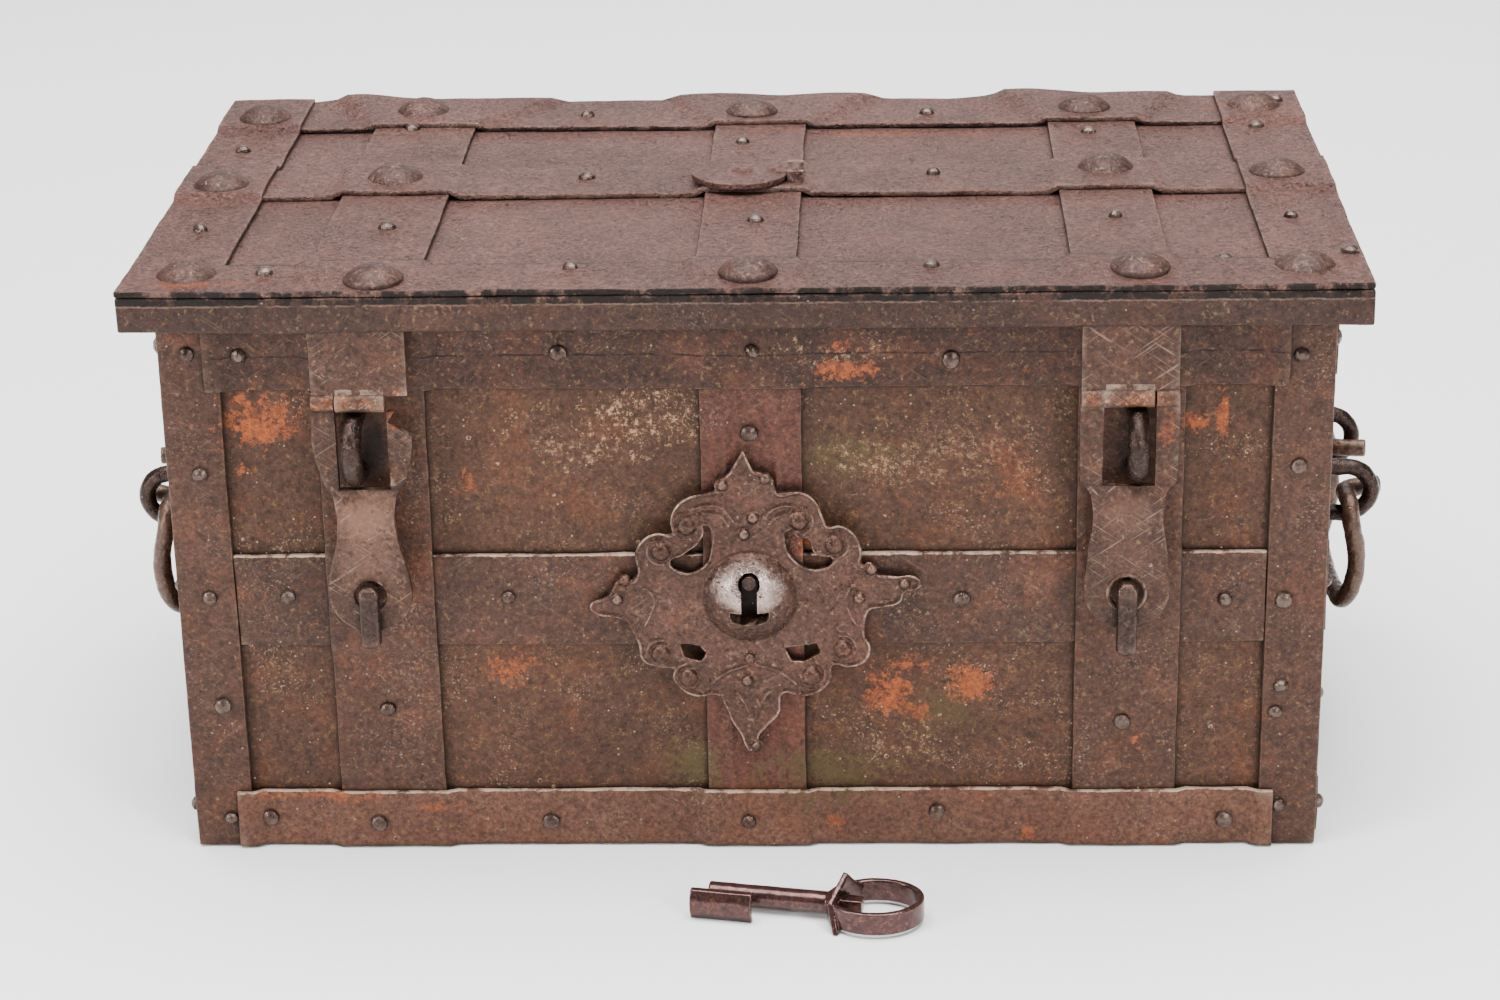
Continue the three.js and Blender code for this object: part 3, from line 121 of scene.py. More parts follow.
def mergeAll(piece):
    startEdit(piece)
    selectAll()
    bpy.ops.mesh.remove_doubles(threshold=0.00001)
    bpy.ops.mesh.normals_make_consistent(inside=False)
    endEdit()


def joinPieces(name, pieces):
    bpy.ops.object.select_all(action="DESELECT")
    for piece in pieces:
        piece.select_set(True)
    bpy.context.view_layer.objects.active = pieces[0]
    bpy.ops.object.join()
    joined = bpy.context.active_object
    joined.name = joined.data.name = name
    return joined


def copyPiece(piece, name, matrix):
    focus(piece)
    bpy.ops.object.duplicate()
    twin = bpy.context.active_object
    twin.name = twin.data.name = name
    twin.matrix_world = matrix @ twin.matrix_world
    applyPlace(twin)
    return twin


def discard(piece):
    focus(piece)
    bpy.ops.object.delete()


def cutAway(piece, cutter):
    modify(piece, "BOOLEAN", operation="DIFFERENCE", object=cutter, solver="EXACT")


def cutWith(piece, *cutters):
    for cutter in cutters:
        cutAway(piece, cutter)
        discard(cutter)


def bevelEdges(piece, width, segments=2, angle=30):
    modify(piece, "BEVEL", width=width, segments=segments, limit_method="ANGLE", angle_limit=math.radians(angle))


def addBlock(name, middle, size, **settings):
    block = addPiece(name, "cube", size=1, location=middle, scale=size, **settings)
    applyPlace(block)
    return block


def addRod(name, middle, radius, length, axis, sides):
    turns = {"x": (0, math.pi / 2, 0), "y": (math.pi / 2, 0, 0), "z": (0, 0, 0)}
    rod = addPiece(name, "cylinder", vertices=sides, radius=radius, depth=length, location=middle,
                   rotation=turns[axis])
    applyPlace(rod)
    return rod


def addBall(name, centre, radius, squash, segments=20, rings=10):
    ball = addPiece(name, "uv_sphere", segments=segments, ring_count=rings, radius=radius, location=centre)
    applyPlace(ball)
    startEdit(ball)
    selectAll()
    bpy.ops.transform.resize(value=squash, center_override=centre)
    endEdit()
    return ball


def addCap(name, segments, rings, radius, sunk, rim, squash=1.0):
    # the top of a ball, with a short rim pulled down from its edge
    cap = addPiece(name, "uv_sphere", segments=segments, ring_count=rings, radius=radius, location=(0, 0, -sunk))
    applyPlace(cap)
    startEdit(cap)
    sliceAll((0, 0, 0), alongZ, clear_inner=True)
    selectAll()
    bpy.ops.transform.resize(value=(1, 1, squash), center_override=(0, 0, 0))
    pick(cap, lambda m: m.z < 0.00001, "edges")
    bpy.ops.mesh.extrude_region_move(TRANSFORM_OT_translate={"value": (0, 0, -rim)})
    endEdit()
    return cap


def evenly(low, high, count):
    return [low + (high - low) * i / count for i in range(count + 1)]


def fuse(piece, voxel, rounds=3, factor=0.5):
    # melts overlapping solids into one skin and softens its corners
    modify(piece, "REMESH", mode="VOXEL", voxel_size=voxel)
    modify(piece, "SMOOTH", factor=factor, iterations=rounds)


def cloudTexture(name, size, depth=2, colour=False):
    texture = bpy.data.textures.new(name, "CLOUDS")
    texture.noise_scale = size
    texture.noise_depth = depth
    texture.noise_basis = "IMPROVED_PERLIN"
    if colour:
        texture.cloud_type = "COLOR"
    return texture


# how far the shared field moves edges, and how deep its dents and pits are
hammer = {"wander": 0.0011, "dent": 0.0009, "pit": 0.0004}
wanderTexture = cloudTexture("wander", 0.045, colour=True)
dentTexture = cloudTexture("dent", 0.022)
pitTexture = cloudTexture("pit", 0.006)
buckleTexture = cloudTexture("buckle", 0.1, 3)


def displace(piece, texture, direction, strength, level=0.5):
    # the texture lies in the scene's own space, so neighbouring pieces move together
    if strength:
        modify(piece, "DISPLACE", texture=texture, direction=direction, texture_coords="GLOBAL", mid_level=level,
               strength=strength)


def roughen(piece, dents, pits):
    # soft hammer marks, then small pits, each as deep as given in metres
    displace(piece, dentTexture, "NORMAL", dents)
    displace(piece, pitTexture, "NORMAL", pits)


def hammerOver(piece, wander=1.0, dent=1.0, pit=1.0):
    # edges that wander, with hammer marks and pits in the strengths that all straps share
    displace(piece, wanderTexture, "RGB_TO_XYZ", hammer["wander"] * wander)
    roughen(piece, hammer["dent"] * dent, hammer["pit"] * pit)


def place(piece, body, material, slot, *nodes):
    piece.data.materials.clear()
    piece.data.materials.append(material)
    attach(piece, body)
    if nodes:
        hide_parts(*nodes)
    return piece


def linear(red, green, blue):
    return tuple(((c / 255 + 0.055) / 1.055) ** 2.4 if c > 10 else c / 3294.6 for c in (red, green, blue)) + (1.0,)


# Camera, floor and studio light

cameraView = {"lens": 82.8, "place": (0.0734, -1.9564, 0.9271), "down": 21.763, "left": 2.297, "roll": -1.167}


def makeCamera():
    bpy.ops.object.camera_add()
    camera = bpy.context.active_object
    camera.name = "photoCamera"
    turn = Matrix.Rotation(math.radians(cameraView["left"]), 4, "Z")
    tilt = Matrix.Rotation(math.radians(90 - cameraView["down"]), 4, "X")
    roll = Matrix.Rotation(math.radians(cameraView["roll"]), 4, "Z")
    camera.matrix_world = Matrix.Translation(cameraView["place"]) @ turn @ tilt @ roll
    camera.data.lens = cameraView["lens"]
    camera.data.clip_end = 50
    bpy.context.scene.camera = camera


makeCamera()

studio = {
    "floorSize": 30, "floorColour": (0.86, 0.86, 0.86, 1), "worldColour": (1, 1, 1, 1), "worldStrength": 0.3,
    "lights": (
        # name, place, target, size, power
        ("overheadSoftbox", (0.0, -0.2, 4.0), (0, 0, 0.2), 4.0, 620),
        ("backSoftbox", (0, 4.0, 2.2), (0, 0, 0.3), 3.0, 36),
        ("leftSoftbox", (-2.0, -1.45, 0.95), (0, -0.1, 0.15), 0.6, 40),
        ("rightSoftbox", (1.5, -2.1, 1.25), (0, -0.1, 0.15), 0.6, 40),
    ),
}


def makeStudio():
    floor = addPiece("studioFloor", "plane", size=studio["floorSize"])
    paper = bpy.data.materials.new("palePaper")
    paper.use_nodes = True
    surface = paper.node_tree.nodes["Principled BSDF"]
    surface.inputs["Base Color"].default_value = studio["floorColour"]
    surface.inputs["Roughness"].default_value = 0.9
    floor.data.materials.append(paper)
    world = bpy.data.worlds.new("studioWorld")
    world.use_nodes = True
    world.node_tree.nodes["Background"].inputs["Color"].default_value = studio["worldColour"]
    world.node_tree.nodes["Background"].inputs["Strength"].default_value = studio["worldStrength"]
    bpy.context.scene.world = world
    for name, where, target, size, power in studio["lights"]:
        bpy.ops.object.light_add(type="AREA", location=where)
        light = bpy.context.active_object
        light.name = name
        light.rotation_euler = (Vector(target) - Vector(where)).to_track_quat("-Z", "Y").to_euler()
        light.data.size = size
        light.data.energy = power


makeStudio()
print("camera, floor and lights ready")

# Finishes: shared effects are groups, and each iron is one material with its own values

def addNode(tree, kind, inputs=None, **settings):
    made = tree.nodes.new(kind)
    for key, value in settings.items():
        setattr(made, key, value)
    for key, value in (inputs or {}).items():
        if isinstance(value, bpy.types.NodeSocket):
            tree.links.new(value, made.inputs[key])
        else:
            made.inputs[key].default_value = value
    return made


def addMath(tree, operation, first, second=0.0, clamp=False):
    return addNode(tree, "ShaderNodeMath", {0: first, 1: second}, operation=operation, use_clamp=clamp).outputs[0]


def addRange(tree, value, low, high, toLow=0.0, toHigh=1.0):
    inputs = {"Value": value, "From Min": low, "From Max": high, "To Min": toLow, "To Max": toHigh}
    return addNode(tree, "ShaderNodeMapRange", inputs).outputs["Result"]


def addMix(tree, share, first, second, blend="MIX"):
    inputs = {0: share, 6: first, 7: second}  # the sockets of a colour mix
    return addNode(tree, "ShaderNodeMix", inputs, data_type="RGBA", blend_type=blend).outputs[2]


def addGroup(tree, group, inputs):
    return addNode(tree, "ShaderNodeGroup", inputs, node_tree=group)


def addNoise(tree, where, scale, detail=4.0, rough=0.6, distort=0.0):
    inputs = {"Vector": where, "Scale": scale, "Detail": detail, "Roughness": rough, "Distortion": distort}
    return addNode(tree, "ShaderNodeTexNoise", inputs).outputs["Fac"]


def startGroup(name, inputs, outputs):
    tree = bpy.data.node_groups.new(name, "ShaderNodeTree")
    for label, kind, value in inputs:
        socket = tree.interface.new_socket(label, in_out="INPUT", socket_type=f"NodeSocket{kind}")
        if value is not None:
            socket.default_value = value
    for label, kind in outputs:
        tree.interface.new_socket(label, in_out="OUTPUT", socket_type=f"NodeSocket{kind}")
    return tree, tree.nodes.new("NodeGroupInput").outputs, tree.nodes.new("NodeGroupOutput").inputs


def makeForgeGrain():
    # broad clouds, patchy mottling, fine grain and small pits of hand-forged iron
    tree, given, out = startGroup(
        "forgeGrain",
        [("Vector", "Vector", None), ("Cloud Scale", "Float", 11.0), ("Mottle Scale", "Float", 230.0),
         ("Grain Scale", "Float", 430.0), ("Pit Scale", "Float", 230.0), ("Pit Amount", "Float", 0.7)],
        [("Cloud", "Float"), ("Mottle", "Float"), ("Grain", "Float"), ("Pits", "Float"), ("Height", "Float")])
    where = given["Vector"]
    cloud = addNoise(tree, where, given["Cloud Scale"], 5, 0.6, 0.5)
    mottle = addNoise(tree, where, given["Mottle Scale"], 6, 0.7, 0.2)
    grain = addNoise(tree, where, given["Grain Scale"], 4, 0.7)
    pitField = addNoise(tree, where, given["Pit Scale"], 3, 0.55)
    pitMask = addRange(tree, addNoise(tree, where, 34, 3), 0.42, 0.6)
    pits = addMath(tree, "MULTIPLY", addRange(tree, pitField, 0.57, 0.66),
                   addMath(tree, "MULTIPLY", pitMask, given["Pit Amount"]))
    tree.links.new(addRange(tree, cloud, 0.34, 0.66), out["Cloud"])
    tree.links.new(addRange(tree, mottle, 0.34, 0.66), out["Mottle"])
    tree.links.new(grain, out["Grain"])
    tree.links.new(pits, out["Pits"])
    height = addMath(tree, "SUBTRACT", addMath(tree, "MULTIPLY", grain, 0.55), pits)
    tree.links.new(addMath(tree, "ADD", height, addMath(tree, "MULTIPLY", mottle, 0.8)), out["Height"])
    return tree


def makeEdgeWear():
    # where corners stand out and are rubbed bright, broken up by noise
    tree, given, out = startGroup(
        "edgeWear",
        [("Vector", "Vector", None), ("Start", "Float", 0.53), ("End", "Float", 0.62), ("Break Up", "Float", 85.0)],
        [("Edge", "Float"), ("Hollow", "Float")])
    point = addNode(tree, "ShaderNodeNewGeometry").outputs["Pointiness"]
    edge = addRange(tree, point, given["Start"], given["End"])
    worn = addRange(tree, addNoise(tree, given["Vector"], given["Break Up"], 6, 0.75), 0.42, 0.58)
    tree.links.new(addMath(tree, "MULTIPLY", edge, worn), out["Edge"])
    tree.links.new(addRange(tree, point, 0.49, 0.43), out["Hollow"])
    return tree


def makeRustSpot():
    # a ragged patch round a centre; Size is its radius on x, y and z
    tree, given, out = startGroup(
        "rustSpot",
        [("Vector", "Vector", None), ("Centre", "Vector", (0, 0, 0)), ("Size", "Vector", (0.02, 0.08, 0.02)),
         ("Ragged", "Float", 1.0), ("Amount", "Float", 1.0)],
        [("Rust", "Float")])
    away = addNode(tree, "ShaderNodeVectorMath", {0: given["Vector"], 1: given["Centre"]}, operation="SUBTRACT")
    scaled = addNode(tree, "ShaderNodeVectorMath", {0: away.outputs[0], 1: given["Size"]}, operation="DIVIDE")
    reach = addNode(tree, "ShaderNodeVectorMath", {0: scaled.outputs[0]}, operation="LENGTH").outputs["Value"]
    fine = addRange(tree, addNoise(tree, given["Vector"], 330, 7, 0.76), 0.35, 0.65, 0.8, -0.8)
    broad = addRange(tree, addNoise(tree, given["Vector"], 62, 4, 0.6), 0.35, 0.65, 0.45, -0.45)
    sway = addMath(tree, "MULTIPLY", addMath(tree, "ADD", fine, broad), given["Ragged"])
    edge = addRange(tree, addMath(tree, "ADD", reach, sway), 0.9, 0.4)
    tree.links.new(addMath(tree, "MULTIPLY", edge, given["Amount"], True), out["Rust"])
    return tree


def makeFlecks():
    # small pale rings, dots and crowds of specks, as of splashed and flaked spots
    tree, given, out = startGroup(
        "flecks",
        [("Vector", "Vector", None), ("Scale", "Float", 130.0), ("Share", "Float", 0.1)],
        [("Ring", "Float"), ("Dot", "Float"), ("Spark", "Float")])
    ringNode = addNode(tree, "ShaderNodeTexVoronoi", {"Vector": given["Vector"], "Scale": given["Scale"]})
    chance = addNode(tree, "ShaderNodeSeparateColor", {"Color": ringNode.outputs["Color"]})
    chosen = addMath(tree, "LESS_THAN", chance.outputs[0], given["Share"])
    reach = addMath(tree, "DIVIDE", ringNode.outputs["Distance"], addRange(tree, chance.outputs[1], 0, 1, 0.6, 1.4))
    band = addMath(tree, "ABSOLUTE", addMath(tree, "SUBTRACT", reach, 0.13))
    ring = addRange(tree, band, 0.05, 0.02)
    broken = addRange(tree, addNoise(tree, given["Vector"], 700, 2), 0.4, 0.6)
    ring = addMath(tree, "MULTIPLY", ring, broken)
    tree.links.new(addMath(tree, "MULTIPLY", ring, chosen), out["Ring"])
    dotScale = addMath(tree, "MULTIPLY", given["Scale"], 3.2)
    dotNode = addNode(tree, "ShaderNodeTexVoronoi", {"Vector": given["Vector"], "Scale": dotScale})
    dotChance = addNode(tree, "ShaderNodeSeparateColor", {"Color": dotNode.outputs["Color"]})
    dotChosen = addMath(tree, "LESS_THAN", dotChance.outputs[0], addMath(tree, "MULTIPLY", given["Share"], 0.6))
    dot = addRange(tree, dotNode.outputs["Distance"], 0.3, 0.16)
    tree.links.new(addMath(tree, "MULTIPLY", dot, dotChosen), out["Dot"])
    crowd = addRange(tree, addNoise(tree, given["Vector"], 24, 4, 0.65), 0.5, 0.68)
    spark = addRange(tree, addNoise(tree, given["Vector"], 620, 3, 0.6), 0.585, 0.64)
    tree.links.new(addMath(tree, "MULTIPLY", spark, crowd), out["Spark"])
    return tree


def makeCreviceShade():
    # painted shade where two pieces meet: ambient occlusion darkens the colour in crevices
    tree, given, out = startGroup("creviceShade", [("Distance", "Float", 0.005), ("Open", "Float", 0.85)],
                                  [("Painted Shade", "Float")])
    shade = addNode(tree, "ShaderNodeAmbientOcclusion", {"Distance": given["Distance"]}, samples=6)
    tree.links.new(addRange(tree, shade.outputs["AO"], given["Open"], 0.5), out["Painted Shade"])
    return tree


def makeScratches():
    # thin slanting scratches: noise squeezed along one direction, in two crossing sets
    tree, given, out = startGroup(
        "scratches",
        [("Vector", "Vector", None), ("Angle", "Float", 0.6), ("Scale", "Float", 900.0)], [("Scratch", "Float")])
    total = None
    for sign in (1, -1):
        turned = addNode(tree, "ShaderNodeVectorRotate", {"Vector": given["Vector"]}, rotation_type="Y_AXIS")
        tree.links.new(addMath(tree, "MULTIPLY", given["Angle"], sign), turned.inputs["Angle"])
        squeezed = addNode(tree, "ShaderNodeVectorMath", {0: turned.outputs[0], 1: (0.03, 0.2, 1)},
                           operation="MULTIPLY")
        lines = addRange(tree, addNoise(tree, squeezed.outputs[0], given["Scale"], 2, 0.5), 0.62, 0.7)
        total = lines if total is None else addMath(tree, "MAXIMUM", total, lines)
    broken = addRange(tree, addNoise(tree, given["Vector"], 60, 3), 0.42, 0.58)
    tree.links.new(addMath(tree, "MULTIPLY", total, broken), out["Scratch"])
    return tree


def makeLineBand():
    # a straight line or band across the metal with a ragged edge; the strap rims, the rim crack and the painted shade
    # lines at the lid's front are drawn with it
    tree, given, out = startGroup(
        "lineBand",
        [("Vector", "Vector", None), ("Axis", "Vector", (0, 0, 1)), ("Low", "Float", 0.0), ("High", "Float", 0.001),
         ("Ragged", "Float", 0.0012)],
        [("Band", "Float")])
    along = addNode(tree, "ShaderNodeVectorMath", {0: given["Vector"], 1: given["Axis"]}, operation="DOT_PRODUCT")
    sway = addRange(tree, addNoise(tree, given["Vector"], 150, 6, 0.72), 0.3, 0.7, -0.5, 0.5)
    height = addMath(tree, "ADD", along.outputs["Value"], addMath(tree, "MULTIPLY", sway, given["Ragged"]))
    above = addMath(tree, "GREATER_THAN", height, given["Low"])
    below = addMath(tree, "LESS_THAN", height, given["High"])
    broken = addRange(tree, addNoise(tree, given["Vector"], 90, 5, 0.75), 0.4, 0.52)
    inside = addMath(tree, "MULTIPLY", above, below)
    tree.links.new(addMath(tree, "MULTIPLY", inside, broken), out["Band"])
    return tree


forgeGrain, edgeWear, rustSpot = makeForgeGrain(), makeEdgeWear(), makeRustSpot()
flecks, creviceShade, scratches = makeFlecks(), makeCreviceShade(), makeScratches()
lineBand = makeLineBand()

def facePatches(y, *rows):
    # patches on an upright face, in millimetres: middle x and z, half size on x and z, and strength
    return tuple(((x * mm, y, z * mm), (wide * mm, 0.08, tall * mm), amount) for x, z, wide, tall, amount in rows)


frontPatches = facePatches(
    -0.175,
    (-274, 262, 22, 14, 0.95), (-280, 234, 6, 5, 0.8), (56, 291, 17, 6, 0.9), (52, 305, 8, 5, 0.8),
    (247, 259, 8, 5, 0.95), (263, 262, 3, 16, 0.9), (78, 98, 12, 18, 1.0), (94, 84, 9, 7, 0.8),
    (88, 112, 12, 6, 0.85), (126, 101, 15, 10, 0.85), (-136, 112, 14, 9, 0.85), (219, 67, 5, 6, 0.9),
    (49, 15, 8, 6, 0.8), (158, 9, 4, 4, 0.8), (146, 232, 16, 20, 0.25), (-248, 33, 30, 4, 0.6),
    (-181, 26, 14, 5, 0.6), (33, 190, 7, 8, 0.8), (-155, 226, 4, 8, 0.7)) + facePatches(
    -0.182, (27, 134, 10, 5, 0.7))
palePatches = facePatches(
    -0.175,
    (-62, 262, 34, 20, 0.85), (-95, 243, 26, 10, 0.6), (72, 236, 26, 12, 0.6), (48, 300, 40, 12, 0.5),
    (126, 240, 50, 22, 0.35), (90, 66, 26, 14, 0.5))
olivePatches = facePatches(
    -0.175,
    (-34, 52, 22, 16, 0.75), (48, 46, 46, 20, 0.75), (60, 240, 34, 14, 0.5), (105, 83, 30, 16, 0.5))
lidPatches = (
    # middle, half size on x, y and z, and strength
    ((-0.300, -0.180, 0.346), (0.030, 0.005, 1), 0.5), ((-0.276, -0.176, 0.346), (0.012, 0.005, 1), 0.55),
    ((0.085, 0.120, 0.343), (0.070, 0.006, 1), 0.45), ((0.290, 0.160, 0.346), (0.030, 0.006, 1), 0.4),
)


baseTop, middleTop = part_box("front_strap_base")[1].z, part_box("front_strap_middle")[1].z
frontBorder = 0.048
frontEdge = -lidY + frontBorder
# bands: across which axis, from, to, colour and strength
# pale top rims of the base and middle straps: worn, dusty edges, painted lighter still as a highlight of the overhead
# light
wornAndLitRims = (
    ((0, 0, 1), baseTop - 0.0008, baseTop + 0.002, (186, 160, 138), 0.75),
    ((0, 0, 1), middleTop - 0.0010, middleTop + 0.002, (186, 158, 140), 0.8),
)
# the black band on the skirt is painted shade under the edge of the lid's border; a paler line runs just below it
skirtBands = (
    ((0, 0, 1), lidTop - 0.0046, lidTop + 0.002, (14, 10, 9), 0.92),
    ((0, 0, 1), lidTop - 0.0058, lidTop - 0.0049, (140, 112, 96), 0.3),
)
# painted shade: dark lines along the lower sides of the lid straps, the lid's front edge and the rear step of the
# front border
lidStrapBands = (((0, 0, 1), lidTop - 0.002, lidTop + 0.0022, (26, 19, 16), 0.88),)
lidFrontBands = (
    ((0, 1, 0), -lidY - 0.01, -lidY + 0.0014, (26, 19, 16), 0.95),
    ((0, 1, 0), frontEdge - 0.0026, frontEdge + 0.003, (44, 31, 28), 0.8),
)
rimCrack = (((0, 0, 1), 0.3010, 0.3021, (18, 12, 10), 0.85),)
sheetBands = (((0, 1, 0), -lidY - 0.01, -lidY + 0.003, (26, 19, 16), 0.95),)


def patchChain(tree, where, patches, ragged=1.0):
    total = None
    for centre, size, amount in patches:
        spot = addGroup(tree, rustSpot, {"Vector": where, "Centre": centre, "Size": size, "Ragged": ragged,
                                         "Amount": amount}).outputs["Rust"]
        total = spot if total is None else addMath(tree, "MAXIMUM", total, spot)
    return total


noiseMasks = {
    # scale, detail and roughness of the noise, the values where it starts and is full, and how much then shows
    "warm": (38, 6, 0.75, 0.5, 0.72, 0.6), "ochre": (330, 5, 0.72, 0.56, 0.7, 0.9),
    "scatter": (210, 7, 0.78, 0.6, 0.67, 1), "crumbs": (300, 8, 0.82, 0.53, 0.58, 1),
    "rust": (280, 6, 0.75, 0.38, 0.6, 1),
}


def addMask(tree, where, name):
    scale, detail, rough, start, full, most = noiseMasks[name]
    return addRange(tree, addNoise(tree, where, scale, detail, rough), start, full, 0, most)


def addLayer(tree, colour, mask, amount, over):
    return addMix(tree, addMath(tree, "MULTIPLY", mask, amount), colour, over)


haspNecks = facePatches(
    -0.19,
    (-210.5, 214, 26, 22, 0.85), (-210.5, 190, 24, 34, 0.4), (210.5, 214, 20, 18, 0.3),
    (210.5, 184, 20, 30, 0.15))
# painted shadow: dark patches on the metal seen through the hasp slots and behind the keyhole
slotShade = facePatches(
    -0.175,
    (-207.5, 246.5, 12.5, 24, 0.85), (213.5, 246.5, 12.5, 24, 0.85), (1, 157, 15, 17, 0.95))
haspRust = facePatches(
    -0.19,
    (-226.5, 279.5, 22, 5.5, 0.35), (210.5, 279.5, 34, 5.5, 0.35), (-192, 276, 6, 12, 0.5),
    (232, 262, 5, 12, 0.4))
hingePale = facePatches(
    -0.19,
    (-210.5, 280.5, 30, 5, 0.8), (210.5, 280.5, 32, 5, 0.8))
plain = {
    "rust": (), "pale": (), "olive": (), "smooth": (), "polishAndHighlight": (), "dark": (), "bands": (),
    "scatter": 0.2, "spark": 0.15, "scratch": 0.1, "creviceShare": 0.8, "hollowShare": 0.6, "ringShare": 0.7,
    "dotShare": 0.6, "pitShare": 0.8, "polishAndHighlightShare": 0.85, "specular": 0.35, "wear": (0.53, 0.62), "open": 0.85,
    "contrast": (0.6, 1.42), "depth": 0.0013,
}
# each kind's grime colour darkens its pits and hollows, and is also the colour of the painted shade in crevices and
# of the painted shadow patches
ironKinds = {
    "wall": {
        **plain, "base": (77, 51, 38), "second": (50, 33, 25), "warm": (96, 53, 34), "ochre": (106, 80, 46),
        "edge": (122, 96, 80), "grimeAndShade": (24, 16, 13), "fleck": (176, 148, 122),
        "roughness": (0.42, 0.64), "metallic": 0.25, "bump": 0.45, "flecks": 0.05, "edgeShare": 0.5,
        "rust": frontPatches, "pale": palePatches, "olive": olivePatches, "scatter": 0.45, "specular": 0.25,
        "spark": 0.6,
    },
    "strap": {
        **plain, "base": (76, 50, 39), "second": (49, 32, 26), "warm": (98, 56, 38), "ochre": (110, 84, 52),
        "edge": (150, 124, 104), "grimeAndShade": (22, 15, 12), "fleck": (160, 140, 124),
        "roughness": (0.4, 0.62), "metallic": 0.3, "bump": 0.4, "flecks": 0.03, "edgeShare": 0.85,
        "rust": frontPatches, "pale": palePatches[3:4], "olive": olivePatches[:2], "scatter": 0.35,
        "specular": 0.28, "spark": 0.35, "dark": slotShade,
    },
    "lid": {
        **plain, "base": (98, 68, 62), "second": (66, 44, 40), "warm": (98, 62, 52), "ochre": (116, 88, 68),
        "edge": (160, 134, 120), "grimeAndShade": (44, 30, 26), "fleck": (160, 144, 132),
        "roughness": (0.3, 0.5), "metallic": 0.4, "bump": 0.9, "flecks": 0.004, "edgeShare": 0.7,
        "rust": lidPatches, "specular": 0.24, "wear": (0.52, 0.58), "bands": sheetBands, "contrast": (0.42, 1.62),
        "depth": 0.003,
    },
    "skirt": {
        **plain, "base": (60, 40, 33), "second": (39, 26, 22), "warm": (80, 50, 38), "ochre": (104, 82, 56),
        "edge": (130, 108, 96), "grimeAndShade": (22, 15, 13), "fleck": (150, 132, 120),
        "roughness": (0.42, 0.62), "metallic": 0.3, "bump": 0.5, "flecks": 0.01, "edgeShare": 0.5,
        "bands": skirtBands, "specular": 0.28, "spark": 0.3,
    },
    "forged": {
        **plain, "base": (56, 39, 33), "second": (26, 18, 16), "warm": (66, 44, 34), "ochre": (84, 64, 52),
        "edge": (124, 98, 86), "grimeAndShade": (16, 11, 10), "fleck": (140, 124, 116),
        "roughness": (0.18, 0.34), "metallic": 0.7, "bump": 0.45, "flecks": 0.01, "edgeShare": 0.6,
        "scatter": 0.15, "wear": (0.515, 0.57), "specular": 0.5,
    },
    "rivet": {
        **plain, "base": (72, 50, 42), "second": (38, 27, 23), "warm": (80, 52, 40), "ochre": (100, 76, 62),
        "edge": (150, 132, 122), "grimeAndShade": (18, 12, 10), "fleck": (160, 140, 128),
        "roughness": (0.2, 0.34), "metallic": 0.6, "bump": 0.3, "flecks": 0.005, "edgeShare": 0.5, "open": 0.97,
        "specular": 0.45,
    },
    "hasp": {
        **plain, "base": (72, 49, 41), "second": (48, 33, 27), "warm": (100, 62, 43), "ochre": (110, 86, 62),
        "edge": (164, 140, 124), "grimeAndShade": (22, 15, 13), "fleck": (150, 132, 118),
        "roughness": (0.36, 0.56), "metallic": 0.3, "bump": 0.3, "flecks": 0.01, "edgeShare": 0.65,
        "rust": haspRust, "pale": hingePale, "smooth": haspNecks, "scatter": 0.35, "scratch": 0.35,
        "specular": 0.25, "wear": (0.52, 0.58),
    },
    "plate": {
        **plain, "base": (78, 52, 42), "second": (48, 33, 28), "warm": (106, 66, 52), "ochre": (118, 92, 72),
        "edge": (168, 138, 122), "grimeAndShade": (22, 15, 13), "fleck": (150, 132, 118),
        "roughness": (0.2, 0.34), "metallic": 0.6, "bump": 0.4, "flecks": 0.01, "edgeShare": 0.85,
        # a polished patch on the top of the lock dome: smoother bare metal, and painted lighter as a highlight
        "polishAndHighlight": (((0.001, -0.19, 0.1675), (0.024, 0.08, 0.018), 1.0),), "wear": (0.518, 0.56), "specular": 0.35,
    },
    "dome": {
        **plain, "base": (74, 52, 47), "second": (50, 35, 32), "warm": (92, 62, 52), "ochre": (130, 102, 80),
        "edge": (150, 130, 118), "grimeAndShade": (30, 21, 19), "fleck": (160, 144, 134),
        "roughness": (0.4, 0.56), "metallic": 0.35, "bump": 0.5, "flecks": 0.004, "edgeShare": 0.5,
        "specular": 0.22, "open": 0.98, "contrast": (0.45, 1.55),
    },
    "key": {
        **plain, "base": (86, 56, 54), "second": (46, 31, 31), "warm": (94, 60, 48), "ochre": (112, 82, 62),
        "edge": (160, 132, 124), "grimeAndShade": (22, 14, 13), "fleck": (150, 124, 112),
        "roughness": (0.12, 0.26), "metallic": 0.65, "bump": 0.1, "flecks": 0.005, "edgeShare": 0.5,
        "wear": (0.52, 0.57), "specular": 0.6,
    },
    "lock": {
        **plain, "base": (84, 77, 72), "second": (58, 51, 48), "warm": (96, 74, 60), "ochre": (100, 84, 66),
        "edge": (140, 132, 126), "grimeAndShade": (30, 24, 21), "fleck": (150, 140, 132),
        "roughness": (0.32, 0.5), "metallic": 0.8, "bump": 0.4, "flecks": 0.01, "edgeShare": 0.6,
    },
}
ironKinds["lidStrap"] = {**ironKinds["lid"], "base": (98, 67, 61), "bands": lidStrapBands}
ironKinds["lidFront"] = {**ironKinds["lidStrap"], "bands": lidStrapBands + lidFrontBands}
ironKinds["bail"] = {**ironKinds["forged"], "base": (104, 76, 61), "second": (54, 39, 32), "metallic": 0.5}
